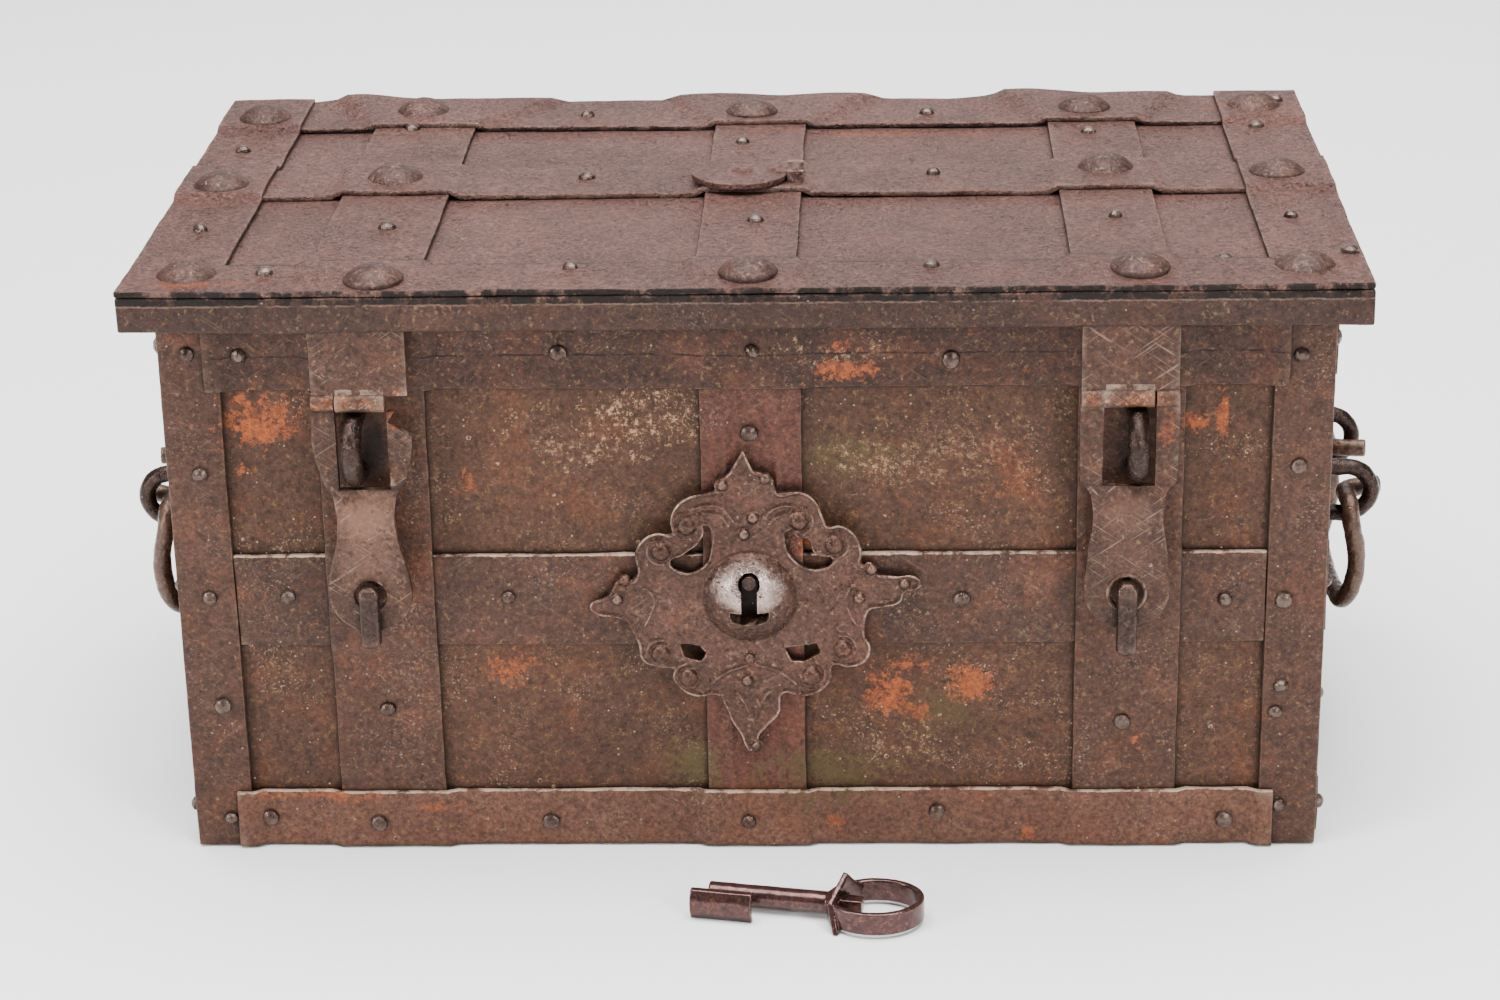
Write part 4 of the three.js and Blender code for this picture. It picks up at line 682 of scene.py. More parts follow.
ironKinds["middleLevel"] = {**ironKinds["strap"], "base": (70, 47, 38), "bands": wornAndLitRims[1:]}
# the base strap's iron is painted lighter for the light the floor throws up onto it
ironKinds["baseLevel"] = {**ironKinds["strap"], "base": (98, 65, 51), "second": (66, 43, 35), "bands": wornAndLitRims[:1]}
# the rim strap's iron is painted darker for the shade under the lid's edge
ironKinds["rimLevel"] = {**ironKinds["strap"], "base": (64, 40, 32), "second": (40, 26, 21), "bands": rimCrack}
ironKinds["redStrap"] = {**ironKinds["strap"], "base": (92, 54, 44), "second": (58, 33, 27)}
stainAndHighlightTones = {"deep": (108, 52, 29), "bright": (156, 82, 42), "pale": (176, 140, 108), "olive": (74, 62, 36),
             "taupe": (122, 90, 74), "bare": (178, 158, 150)}
toned = {name: linear(*tone) for name, tone in stainAndHighlightTones.items()}


def makeIron(kind):
    look = ironKinds[kind]
    tone = {name: linear(*look[name]) for name in ("base", "second", "warm", "ochre", "edge", "grimeAndShade", "fleck")}
    material = bpy.data.materials.new(f"{kind}Iron")
    material.use_nodes = True
    tree = material.node_tree
    surface = tree.nodes["Principled BSDF"]
    where = addNode(tree, "ShaderNodeTexCoord").outputs["Object"]
    start, end = look["wear"]
    grain = addGroup(tree, forgeGrain, {"Vector": where})
    wear = addGroup(tree, edgeWear, {"Vector": where, "Start": start, "End": end})
    spots = addGroup(tree, flecks, {"Vector": where, "Share": look["flecks"]})
    crevice = addGroup(tree, creviceShade, {"Open": look["open"]})
    scraped = addGroup(tree, scratches, {"Vector": where})
    colour = addMix(tree, grain.outputs["Mottle"], tone["second"], tone["base"])
    for name in ("warm", "ochre"):
        colour = addMix(tree, addMask(tree, where, name), colour, tone[name])
    broad = addRange(tree, grain.outputs["Cloud"], 0, 1, 0.84, 1.16)
    fine = addMath(tree, "MULTIPLY", addRange(tree, grain.outputs["Grain"], 0.32, 0.68, *look["contrast"]), broad)
    shades = addNode(tree, "ShaderNodeCombineColor", {0: fine, 1: fine, 2: fine}).outputs[0]
    colour = addMix(tree, 1.0, colour, shades, "MULTIPLY")
    if look["olive"]:
        colour = addMix(tree, patchChain(tree, where, look["olive"]), colour, toned["olive"])
    colour = addLayer(tree, colour, addMask(tree, where, "scatter"), look["scatter"], toned["bright"])
    colour = addLayer(tree, colour, spots.outputs["Spark"], look["spark"], tone["fleck"])
    if look["pale"]:
        crumbs = addMask(tree, where, "crumbs")
        colour = addLayer(tree, colour, patchChain(tree, where, look["pale"]), crumbs, toned["pale"])
    if look["rust"]:
        rustTone = addMix(tree, addMask(tree, where, "rust"), toned["deep"], toned["bright"])
        speckles = addRange(tree, grain.outputs["Grain"], 0.36, 0.48, 0.45, 1)
        colour = addLayer(tree, colour, patchChain(tree, where, look["rust"]), speckles, rustTone)
    if look["smooth"]:
        rubbed = addRange(tree, grain.outputs["Grain"], 0.35, 0.65, 0.7, 1)
        colour = addLayer(tree, colour, patchChain(tree, where, look["smooth"], 0.2), rubbed, toned["taupe"])
    # painted shadow inside the hasp slots and behind the keyhole
    if look["dark"]:
        colour = addMix(tree, patchChain(tree, where, look["dark"], 0.3), colour, tone["grimeAndShade"])
    # polished bare metal with a painted highlight: the patch is lightened as well as made smoother and more metallic
    if look["polishAndHighlight"]:
        polishAndHighlight = patchChain(tree, where, look["polishAndHighlight"], 0.16)
        colour = addLayer(tree, colour, polishAndHighlight, look["polishAndHighlightShare"], toned["bare"])
    # the crevice layer is painted shade: the colour darkens where ambient occlusion finds crevices
    layers = [(scraped.outputs["Scratch"], look["scratch"], tone["edge"]),
              (crevice.outputs["Painted Shade"], look["creviceShare"], tone["grimeAndShade"]),
              (wear.outputs["Hollow"], look["hollowShare"], tone["grimeAndShade"]),
              (wear.outputs["Edge"], look["edgeShare"], tone["edge"])]
    for axis, low, high, bandTone, amount in look["bands"]:
        band = addGroup(tree, lineBand, {"Vector": where, "Axis": axis, "Low": low, "High": high})
        layers.append((band.outputs["Band"], amount, linear(*bandTone)))
    layers += [(spots.outputs["Ring"], look["ringShare"], tone["fleck"]),
               (spots.outputs["Dot"], look["dotShare"], tone["fleck"]),
               (grain.outputs["Pits"], look["pitShare"], tone["grimeAndShade"])]
    for mask, amount, over in layers:
        colour = addLayer(tree, colour, mask, amount, over)
    tree.links.new(colour, surface.inputs["Base Color"])
    low, high = look["roughness"]
    uneven = addMath(tree, "ADD", grain.outputs["Mottle"], grain.outputs["Pits"])
    rough = addRange(tree, uneven, 1.3, 0, low, high)
    surface.inputs["Metallic"].default_value = look["metallic"]
    if look["polishAndHighlight"]:
        rough = addMath(tree, "SUBTRACT", rough, addMath(tree, "MULTIPLY", polishAndHighlight, 0.1))
        tree.links.new(addRange(tree, polishAndHighlight, 0, 1, look["metallic"], 1), surface.inputs["Metallic"])
    tree.links.new(rough, surface.inputs["Roughness"])
    surface.inputs["Specular IOR Level"].default_value = look["specular"]
    bump = addNode(tree, "ShaderNodeBump", {"Strength": look["bump"], "Distance": look["depth"],
                                            "Height": grain.outputs["Height"]})
    tree.links.new(bump.outputs["Normal"], surface.inputs["Normal"])
    return material


iron = {kind: makeIron(kind) for kind in ironKinds}
print("finishes ready")

# Straps: flat bars laid through stations, climbing over whatever lies under them

strapIron = {"thick": 0.003, "corner": 0.004, "leg": 0.033, "ramp": 0.006, "step": 0.006, "gap": 0.0003,
             "bevel": 0.0007}


def heightsAlong(start, end, raises=()):
    # (distance, height) along a strap; a raise is (from, to, height), and a ramp is added on each side
    gap, ramp = strapIron["gap"], strapIron["ramp"]
    knots = [(start, next((h for a, b, h in raises if a <= start <= b), 0.0))]
    for low, high, height in sorted(raises):
        before, after = low - gap, high + gap
        for at, level in ((before - ramp, 0.0), (before, height), (after, height), (after + ramp, 0.0)):
            if start < at < end:
                knots.append((at, level))
    knots.append((end, next((h for a, b, h in raises if a <= end <= b), 0.0)))
    stations = [knots[0]]
    for (u0, h0), (u1, h1) in zip(knots, knots[1:]):
        count = max(1, round((u1 - u0) / strapIron["step"]))
        stations += [(u0 + (u1 - u0) * i / count, h0 + (h1 - h0) * i / count) for i in range(1, count + 1)]
    return stations


def layStrap(name, stations, out, width, cells=None):
    # a plane at the first two stations, its far edge pulled on from station to station, then cut lengthwise
    points = [Vector(p) for p in stations]
    step = points[1] - points[0]
    side = Vector(out).cross(step.normalized()) * width
    piece = addPiece(name, "plane", size=1)
    middle = (points[0] + points[1]) / 2
    normal = step.cross(side).normalized()
    piece.matrix_world = Matrix((step, side, normal)).transposed().to_4x4()
    piece.matrix_world.translation = middle
    applyPlace(piece)
    startEdit(piece, "EDGE")
    pick(piece, lambda m: (m - points[1]).length < 0.00002, "edges")
    for before, after in zip(points[1:], points[2:]):
        bpy.ops.mesh.extrude_region_move(TRANSFORM_OT_translate={"value": after - before})
    count = cells or max(2, round(width / strapIron["step"]))
    for i in range(1, count):
        sliceAll(points[0] + side * (i / count - 0.5), side.normalized())
    selectAll()
    bpy.ops.mesh.remove_doubles(threshold=0.00001)
    endEdit()
    return piece


def forgeStrap(piece, thick=strapIron["thick"], inward=False, bevel=strapIron["bevel"], **hammering):
    modify(piece, "SOLIDIFY", thickness=thick, offset=-1 if inward else 1, use_even_offset=True)
    bevelEdges(piece, bevel, 2, 40)
    hammerOver(piece, **hammering)
    smoothShade(piece)
    return piece


def crossRange(node):
    low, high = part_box(node)
    return low.x, high.x


def riseRange(node):
    low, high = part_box(node)
    return low.z, high.z


cornerIn = wallX + strapIron["corner"] - strapIron["leg"]
overCorners = [(-wallX - 0.02, -cornerIn, strapIron["corner"]), (cornerIn, wallX + 0.02, strapIron["corner"])]
levelNodes = {"base": "front_strap_base", "middle": "front_strap_middle", "rim": "front_strap_rim"}
levels = {name: riseRange(node) for name, node in levelNodes.items()}


def makeWalls():
    sheet = {"thick": 0.003, "buckle": 0.0022, "step": 0.0075, "endCells": 46, "rows": 44}
    inner = wallY - sheet["thick"]
    xs = evenly(-wallX, wallX, round(2 * wallX / sheet["step"]))
    ys = evenly(-inner, inner, sheet["endCells"])
    middle = wallTop / 2
    sheets = (
        ("wallSheetFront", "front_wall", [(x, -wallY, middle) for x in xs], -alongY),
        ("wallSheetBack", "back_wall", [(x, wallY, middle) for x in xs], alongY),
        ("wallSheetLeft", "left_wall", [(-wallX, y, middle) for y in ys], -alongX),
        ("wallSheetRight", "right_wall", [(wallX, y, middle) for y in ys], alongX),
    )
    for name, node, stations, out in sheets:
        piece = layStrap(name, stations, out, wallTop, sheet["rows"])
        axis = "Y" if abs(out.y) > 0 else "X"
        sign = 1 if out.x + out.y < 0 else -1
        displace(piece, buckleTexture, axis, sheet["buckle"] * sign, 0.15)
        forgeStrap(piece, sheet["thick"], True, 0.0005, wander=0, dent=0.6)
        place(piece, "chest", iron["wall"], "wall_iron", node)


ridges = {"cells": 28, "columns": (7, 21), "rise": 0.0009}


def makeUprights():
    overMiddle = [(levels["middle"][0], levels["middle"][1], strapIron["thick"])]
    nodes = ("front_strap_left", "front_strap_centre", "front_strap_right")
    for name, node in zip(("uprightLeft", "uprightCentre", "uprightRight"), nodes):
        (left, right), (low, high) = crossRange(node), riseRange(node)
        stations = [((left + right) / 2, -wallY - h, z) for z, h in heightsAlong(low, high, overMiddle)]
        piece = layStrap(name, stations, -alongY, right - left, ridges["cells"] if name == "uprightCentre" else None)
        if name == "uprightCentre":
            ridgeUpright(piece, left, right)
        forgeStrap(piece)
        place(piece, "chest", iron["redStrap" if name == "uprightCentre" else "strap"], "strap_iron", node)
    return [crossRange(node) for node in nodes]


def ridgeUpright(piece, left, right):
    # a raised line runs down the middle upright near each side
    columns = [left + (right - left) * i / ridges["cells"] for i in ridges["columns"]]
    startEdit(piece)
    pick(piece, lambda m: any(abs(m.x - x) < 0.0003 for x in columns))
    bpy.ops.transform.translate(value=(0, -ridges["rise"], 0))
    endEdit()


def makeLevels(uprightRanges):
    overUprights = [(a, b, strapIron["thick"]) for a, b in uprightRanges]
    for name in levelNodes:
        low, high = levels[name]
        left, right = crossRange(levelNodes[name])
        raises = [] if name == "middle" else overCorners + overUprights
        stations = [(x, -wallY - h, (low + high) / 2) for x, h in heightsAlong(left, right, raises)]
        piece = layStrap(f"levelStrap{name.title()}", stations, -alongY, high - low)
        forgeStrap(piece, wander=1.9)
        place(piece, "chest", iron[f"{name}Level"], "strap_iron", levelNodes[name])


def makeCornerStraps():
    count = 6
    reach = strapIron["leg"] - strapIron["corner"]
    for sideX, leftRight in ((-1, "left"), (1, "right")):
        for sideY, frontBack in ((-1, "front"), (1, "back")):
            onEnd = [(sideX * wallX, sideY * (wallY - reach * (1 - i / count))) for i in range(count + 1)]
            onFace = [(sideX * (wallX - reach * i / count), sideY * wallY) for i in range(1, count + 1)]
            node = f"corner_strap_{frontBack}_{leftRight}"
            low, high = riseRange(node)
            stations = [(x, y, (low + high) / 2) for x, y in onEnd + onFace]
            name = f"cornerStrap{frontBack.title()}{leftRight.title()}"
            piece = layStrap(name, stations, (sideX, 0, 0), high - low)
            forgeStrap(piece, strapIron["corner"], bevel=0.001, wander=0.8)
            place(piece, "chest", iron["strap"], "strap_iron", node)


def makeWraps():
    # from the left end, round the back, to the right end
    corner = strapIron["corner"]
    cornerInY = wallY + corner - strapIron["leg"]
    overEnds = [(-wallY - 0.02, -cornerInY, corner), (cornerInY, wallY + 0.02, corner)]
    for name, (low, high) in levels.items():
        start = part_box(f"wrap_strap_{name}")[0].y
        side = heightsAlong(start, wallY + corner, overEnds)
        back = heightsAlong(-wallX - corner, wallX + corner, overCorners)
        path = [(-wallX - h, y) for y, h in side] + [(x, wallY + h) for x, h in back[1:]]
        path += [(wallX + h, y) for y, h in reversed(side[:-1])]
        piece = layStrap(f"wrapStrap{name.title()}", [(x, y, (low + high) / 2) for x, y in path], -alongX, high - low)
        forgeStrap(piece, wander=1.3)
        place(piece, "chest", iron["strap"], "strap_iron", f"wrap_strap_{name}")


def makeEndAndBackStraps():
    overLevels = [(low, high, strapIron["thick"]) for low, high in levels.values()]
    for sign, name in ((-1, "left"), (1, "right")):
        low, high = riseRange(f"{name}_strap")
        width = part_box(f"{name}_strap")[1].y * 2
        stations = [(sign * (wallX + h), 0, z) for z, h in heightsAlong(low, high, overLevels)]
        piece = forgeStrap(layStrap(f"endStrap{name.title()}", stations, (sign, 0, 0), width))
        place(piece, "chest", iron["strap"], "strap_iron", f"{name}_strap")
    ring = {"y": 0.1855, "z": 0.316, "radius": 0.0065, "width": 0.022, "pin": 0.003, "pinReach": 0.0253}
    backNodes = ("back_hinge_strap_left", "back_strap_centre", "back_hinge_strap_right")
    for name, node in zip(("Left", "Centre", "Right"), backNodes):
        (left, right), low = crossRange(node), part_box(node)[0].z
        middle = (left + right) / 2
        top = levels["rim"][1] if name == "Centre" else ring["z"] - 0.010
        stations = [(middle, wallY + h, z) for z, h in heightsAlong(low, top, overLevels)]
        piece = forgeStrap(layStrap(f"backStrap{name}", stations, alongY, right - left))
        if name != "Centre":
            centre = (middle, ring["y"], ring["z"])
            barrel = addRod("barrel", centre, ring["radius"], ring["width"], "x", 32)
            pin = addRod("pin", centre, ring["pin"], 2 * ring["pinReach"], "x", 20)
            for rod in (barrel, pin):
                bevelEdges(rod, 0.0006)
            rise = [(middle, wallY + 0.0032, z * mm) for z in (294, 298, 302)]
            rise += [(middle, wallY + 0.0045, 0.306), (middle, ring["y"] - 0.0045, ring["z"] - 0.0045)]
            web = layStrap("web", rise, alongY, ring["width"], 4)
            modify(web, "SOLIDIFY", thickness=0.0035, offset=1)
            piece = joinPieces(piece.name, [piece, barrel, pin, web])
            smoothShade(piece)
        place(piece, "chest", iron["strap"], "strap_iron", node)


makeWalls()
makeLevels(makeUprights())
makeCornerStraps()
makeWraps()
makeEndAndBackStraps()
print("walls and their straps forged")

# Lid: a tray sheet with turned-down edges, border straps, strips, a cross strap and domed rivets

lidIron = {"sheet": 0.003, "buckle": 0.003, "frontWidth": frontBorder, "rearWidth": 0.060, "sideWidth": 0.052,
           "crossY": 0.014, "crossWidth": 0.056, "columns": 96, "rows": 54, "skirtRows": 3}
keyholeAt = {"x": -0.005, "y": 0.014, "radius": 0.007, "bitWidth": 0.007, "bitReach": 0.019, "depth": 0.04}


def keyholeCutters():
    x, y, reach = keyholeAt["x"], keyholeAt["y"], keyholeAt["bitReach"]
    hole = addRod("holeCutter", (x, y, lidTop), keyholeAt["radius"], keyholeAt["depth"], "z", 32)
    slot = addBlock("slotCutter", (x, y - reach / 2, lidTop), (keyholeAt["bitWidth"], reach, 0.038))
    return hole, slot


def makeTray(cutters):
    drop, skirt = lidTop - trayLow.z, lidIron["skirtRows"]
    path = [(-lidY, lidTop - drop * (1 - i / skirt)) for i in range(skirt)]
    path += [(y, lidTop) for y in evenly(-lidY, lidY, lidIron["rows"])]
    path += [(lidY, lidTop - drop * (i + 1) / skirt) for i in range(skirt)]
    piece = layStrap("lidTray", [(0, y, z) for y, z in path], -alongY, 2 * lidX, lidIron["columns"])
    startEdit(piece, "EDGE")
    for sign in (-1, 1):
        pick(piece, lambda m: m.x * sign > lidX - 0.00001 and m.z > lidTop - 0.00001, "edges")
        for i in range(skirt):
            bpy.ops.mesh.extrude_region_move(TRANSFORM_OT_translate={"value": (0, 0, -drop / skirt)})
    selectAll()
    bpy.ops.mesh.remove_doubles(threshold=0.00002)
    endEdit()
    displace(piece, buckleTexture, "Z", lidIron["buckle"], 0.62)
    modify(piece, "SOLIDIFY", thickness=lidIron["sheet"], offset=-1, use_even_offset=True)
    bevelEdges(piece, 0.0026, 3, 60)
    hammerOver(piece, wander=0.8, dent=0.5)
    for cutter in cutters:
        cutAway(piece, cutter)
    smoothShade(piece)
    place(piece, "lid", iron["skirt"], "lid_iron", "lid_tray")
    piece.data.materials.append(iron["lid"])
    startEdit(piece, "FACE")
    pick(piece, lambda m: m.z > lidTop - 0.0018, "faces")
    piece.active_material_index = 1
    bpy.ops.object.material_slot_assign()
    endEdit()


def makeLidStraps(cutters):
    thick = strapIron["thick"]
    stripNodes = ("lid_strap_left", "lid_strap_centre", "lid_strap_right")
    strips = [crossRange(node) for node in stripNodes]
    for name, node, (left, right) in zip(("Left", "Centre", "Right"), stripNodes, strips):
        low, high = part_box(node)
        stations = [((left + right) / 2, y, lidTop) for y, level in heightsAlong(low.y, high.y)]
        piece = forgeStrap(layStrap(f"lidStrip{name}", stations, alongZ, right - left), wander=1.4, pit=1.5)
        if name == "Centre":
            for cutter in cutters:
                cutAway(piece, cutter)
        place(piece, "lid", iron["lidStrap"], "lid_iron", node)
    overStrips = [(a, b, thick) for a, b in strips]
    crossY, crossWidth = lidIron["crossY"], lidIron["crossWidth"]
    left, right = crossRange("lid_strap_cross")
    stations = [(x, crossY, lidTop + h) for x, h in heightsAlong(left, right, overStrips)]
    cross = forgeStrap(layStrap("lidCrossStrap", stations, alongZ, crossWidth), wander=1.8, pit=1.5)
    for cutter in cutters:
        cutAway(cross, cutter)
    frontY = -lidY + lidIron["frontWidth"] / 2
    stations = [(x, frontY, lidTop + h) for x, h in heightsAlong(-lidX, lidX, overStrips)]
    front = layStrap("lidBorderFront", stations, alongZ, lidIron["frontWidth"])
    rearY = lidY - lidIron["rearWidth"] / 2
    stations = [(x, rearY, lidTop) for x, level in heightsAlong(-lidX, lidX, overStrips)]
    rear = layStrap("lidBorderRear", stations, alongZ, lidIron["rearWidth"], 14)
    overEnds = [(crossY - crossWidth / 2, crossY + crossWidth / 2, thick),
                (lidY - lidIron["rearWidth"], lidY + 0.02, thick)]
    sides = []
    for sign, name in ((-1, "Left"), (1, "Right")):
        x = sign * (lidX - lidIron["sideWidth"] / 2)
        stations = [(x, y, lidTop + h) for y, h in heightsAlong(-lidY, lidY, overEnds)]
        sides.append(layStrap(f"lidBorder{name}", stations, alongZ, lidIron["sideWidth"]))
    easeFrontBorder(front)
    cutMitres(front, sides)
    foldRearBorder(rear, strips)
    waveRearBorder(rear)
    for piece, node in ((front, "front"), (rear, "rear"), (sides[0], "left"), (sides[1], "right")):
        forgeStrap(piece, wander=1.6, pit=1.5)
        place(piece, "lid", iron["lidFront" if node == "front" else "lidStrap"], "lid_iron", f"lid_border_{node}")
    return cross


def easeFrontBorder(piece):
    # the humps over the strips die away toward the lid's front edge
    eased = ((-0.193, 0.0), (-0.187, 0.0), (-0.181, 0.12), (-0.175, 0.35), (-0.169, 0.7), (-0.163, 0.9))
    startEdit(piece)
    for y, share in eased:
        pick(piece, lambda m: abs(m.y - y) < 0.0005)
        bpy.ops.transform.resize(value=(1, 1, share), center_override=(0, y, lidTop))
    endEdit()


def foldRearBorder(piece, strips):
    # over each strip the rear border rises between two slanting folds that spread toward the rear edge
    spread = ((0.026, 0.046), (0.028, 0.040), (0.026, 0.026))
    inner, steps = lidY - lidIron["rearWidth"], 8

    def rise(co):
        share = max(0.0, (co.y - inner) / lidIron["rearWidth"])
        height = 0.0
        for (left, right), (goLeft, goRight) in zip(strips, spread):
            inside = min(co.x - left + goLeft * share, right + goRight * share - co.x)
            height = max(height, min(1.0, (inside + strapIron["ramp"]) / strapIron["ramp"]))
        return round(height * steps)

    startEdit(piece)
    for level in range(1, steps + 1):
        pick(piece, lambda m: rise(m) == level)
        bpy.ops.transform.translate(value=(0, 0, strapIron["thick"] * level / steps))
    endEdit()


def cutMitres(front, sides):
    # the front border and the end borders meet on a slanting seam at each front corner
    reach, gap = (lidIron["sideWidth"], lidIron["frontWidth"]), 0.0004
    for sign, side in ((-1, sides[0]), (1, sides[1])):
        across = Vector((sign * reach[1], reach[0], 0)).normalized()
        corner = Vector((sign * lidX, -lidY, lidTop))
        for piece, shift, outer in ((front, -gap, True), (side, gap, False)):
            startEdit(piece)
            sliceAll(corner + across * shift, across, clear_outer=outer, clear_inner=not outer)
            endEdit()


def waveRearBorder(piece):
    # the rear edge is bent up here and there; each row is a place on it and how far it lifts
    lifts = ((-0.262, 0.193, 0.0035), (-0.09, 0.193, 0.0006), (-0.03, 0.193, 0.002), (0.05, 0.193, 0.0015),
             (0.165, 0.193, 0.003))
    startEdit(piece)
    for x, y, lift in lifts:
        nearest = min((v.co for v in bmesh.from_edit_mesh(piece.data).verts),
                      key=lambda co: (co - Vector((x, y, lidTop))).length).copy()
        pick(piece, lambda m: (m - nearest).length < 0.00001)
        bpy.ops.transform.translate(value=(0, 0, lift), use_proportional_edit=True,
                                    proportional_edit_falloff="SMOOTH", proportional_size=0.045)
    endEdit()


# the large domed rivets, and the low ball cap they are made of
domeShape = {"radius": 0.0165, "height": 0.0078, "rim": 0.003, "hammered": 0.0006}


def makeDomes():
    # one cap, then a hammered copy on each place
    high, low = lidTop + 2 * strapIron["thick"], lidTop + strapIron["thick"]
    places = [(-0.201, -0.174, high - 0.0012), (0.003, -0.168, high - 0.0008), (0.216, -0.166, high - 0.0006),
              (-0.306, -0.162, low), (0.306, -0.158, low), (-0.214, 0.164, high), (-0.005, 0.155, high),
              (0.204, 0.158, high), (-0.213, 0.014, high), (0.209, 0.024, high), (-0.315, 0.003, high),
              (0.309, 0.012, high), (-0.313, 0.150, high), (0.310, 0.158, high)]
    ball = (domeShape["radius"] ** 2 + domeShape["height"] ** 2) / (2 * domeShape["height"])
    master = addCap("domeMaster", 40, 40, ball, ball - domeShape["height"], domeShape["rim"])
    domes = []
    for i, (x, y, z) in enumerate(places):
        lean = Matrix.Rotation(math.radians(4 * math.sin(5 * i)), 4, "X") @ Matrix.Rotation(i * 1.3, 4, "Z")
        dome = copyPiece(master, f"dome{i + 1}", Matrix.Translation((x, y, z)) @ lean)
        roughen(dome, domeShape["hammered"], domeShape["hammered"])
        domes.append(dome)
    discard(master)
    group = joinPieces("lidDomes", domes)
    smoothShade(group, 40)
    place(group, "lid", iron["dome"], "lid_iron")


lidCutters = keyholeCutters()
makeTray(lidCutters)
lidCross = makeLidStraps(lidCutters)
for lidCutter in lidCutters:
    discard(lidCutter)
makeDomes()
print("lid forged")

# Small rivets and nails: one hammered head, copied onto each place on whatever surface is there

smallRivet = {"radius": 0.0049, "height": 0.0038, "rim": 0.0012, "start": 0.03, "pitted": 0.0008}
frontRivets = [
    (-304.4, 232.9), (-304.6, 158.2), (-302.3, 90.9), (-302.5, 19.2), (-279.8, 19.1), (-260.3, 158.0),
    (-207.6, 88.0), (-216.4, 16.4), (-135.6, 157.4), (-117.0, 16.2), (-2.4, 17.2), (106.0, 22.1),
    (119.9, 155.0), (266.8, 154.3), (299.7, 154.1), (297.3, 85.0), (211.0, 79.0), (304.8, 234.5),
    (303.9, 299.2), (270.7, 16.6), (301.7, 26.1), (2.2, 255.3), (-278.0, 302.4), (-306.6, 303.8),
    (-101.6, 302.8), (4.8, 304.3), (113.3, 297.7), (300.0, 101.2)]
lidRivets = [
    (-316, 84), (-313, -79), (-99, 19), (107, 23), (204, 109), (-109, 157), (105, 156), (4, -69), (209, -67),
    (-206, -78), (-95, -155), (103, -155), (-263, -160), (308, -70), (308, 119), (-9, 94), (-217, 130),
    (264, -139), (325, 167), (333, -137)]
endRivets = [(-157, 19), (-157, 88), (-166, 306), (-150, 155), (0, 16), (0, 90), (0, 225), (155, 20), (155, 90),
             (155, 155), (150, 300)]
backRivets = [(-300, 20), (-300, 90), (-300, 240), (300, 20), (300, 90), (300, 240), (-209, 80), (-209, 230),
              (1, 80), (1, 230), (207, 80), (207, 230), (-110, 18), (110, 18), (-110, 155), (110, 155),
              (-105, 305), (105, 305)]


def scatterRivets(name, body, slot, places, toward):
    # a ray starts a little outside each place, near enough to miss the key, and the head sits where it meets metal
    head = addCap("rivetHead", 9, 6, smallRivet["radius"], 0, smallRivet["rim"],
                  smallRivet["height"] / smallRivet["radius"])
    turn = toward.to_track_quat("Z", "Y").to_matrix().to_4x4()
    depsgraph = bpy.context.evaluated_depsgraph_get()
    heads = []
    for i, start in enumerate(places):
        found, spot = bpy.context.scene.ray_cast(
            depsgraph, Vector(start) + toward * smallRivet["start"], -toward)[:2]
        if not found:
            continue
        size = 1 + 0.12 * math.sin(3.7 * i)
        spin = Matrix.Rotation(2.1 * i, 4, "Z") @ Matrix.Diagonal((size, size * 0.94, 1, 1))
        heads.append(copyPiece(head, f"{name}{i}", Matrix.Translation(spot) @ turn @ spin))
    discard(head)
    group = joinPieces(name, heads)
    roughen(group, 0, smallRivet["pitted"])
    smoothShade(group, 28)
    place(group, body, iron["rivet"], slot)


def makeSmallRivets():
    onFront = [(x * mm, -wallY, z * mm) for x, z in frontRivets]
    onBack = [(x * mm, wallY, z * mm) for x, z in backRivets]
    onLid = [(x * mm, y * mm, lidTop) for x, y in lidRivets]
    scatterRivets("frontRivetHeads", "chest", "strap_iron", onFront, -alongY)
    scatterRivets("rearRivetHeads", "chest", "strap_iron", onBack, alongY)
    for sign, side in ((-1, "left"), (1, "right")):
        onEnd = [(sign * wallX, y * mm, z * mm) for y, z in endRivets]
        scatterRivets(f"{side}RivetHeads", "chest", "strap_iron", onEnd, alongX * sign)
    scatterRivets("lidRivetHeads", "lid", "lid_iron", onLid, alongZ)


makeSmallRivets()
print("small rivets placed")


# Bent bars: a curve through the points of a path, with a round section

def bendBar(name, path, thick, sides=14):
    bpy.ops.object.select_all(action="DESELECT")
    bpy.ops.curve.primitive_bezier_curve_add()
    curve = bpy.context.active_object
    curve.name = name
    line = curve.data
    line.splines.clear()
    spline = line.splines.new("BEZIER")
    spline.bezier_points.add(len(path) - 1)
    for point, where in zip(spline.bezier_points, path):
        point.co = where
        point.handle_left_type = point.handle_right_type = "AUTO"
    line.dimensions = "3D"
    line.resolution_u = 8
    line.bevel_depth = thick / 2
    line.bevel_resolution = max(1, sides // 4 - 1)
    line.use_fill_caps = True
    bpy.ops.object.convert(target="MESH")
    bar = bpy.context.active_object
    bar.name = bar.data.name = name
    mergeAll(bar)
    return bar


def pitBar(piece, voxel):
    fuse(piece, voxel, 2)
    roughen(piece, 0.0014, 0.0010)
    smoothShade(piece, 70)


def loopPath(loop):
    # (distance out, height): straight out of the wall, round a half circle and straight back
    middle, half, wall, end = loop["middle"], loop["half"], loop["wall"], loop["end"]
    turns = [math.radians(angle) for angle in loop["bend"]]
    bend = [(loop["arc"] + half * math.sin(turn), middle + half * math.cos(turn)) for turn in turns]
    low, high = middle - half, middle + half
    return [(wall, high), (end, high)] + bend + [(end, low), (wall, low)]


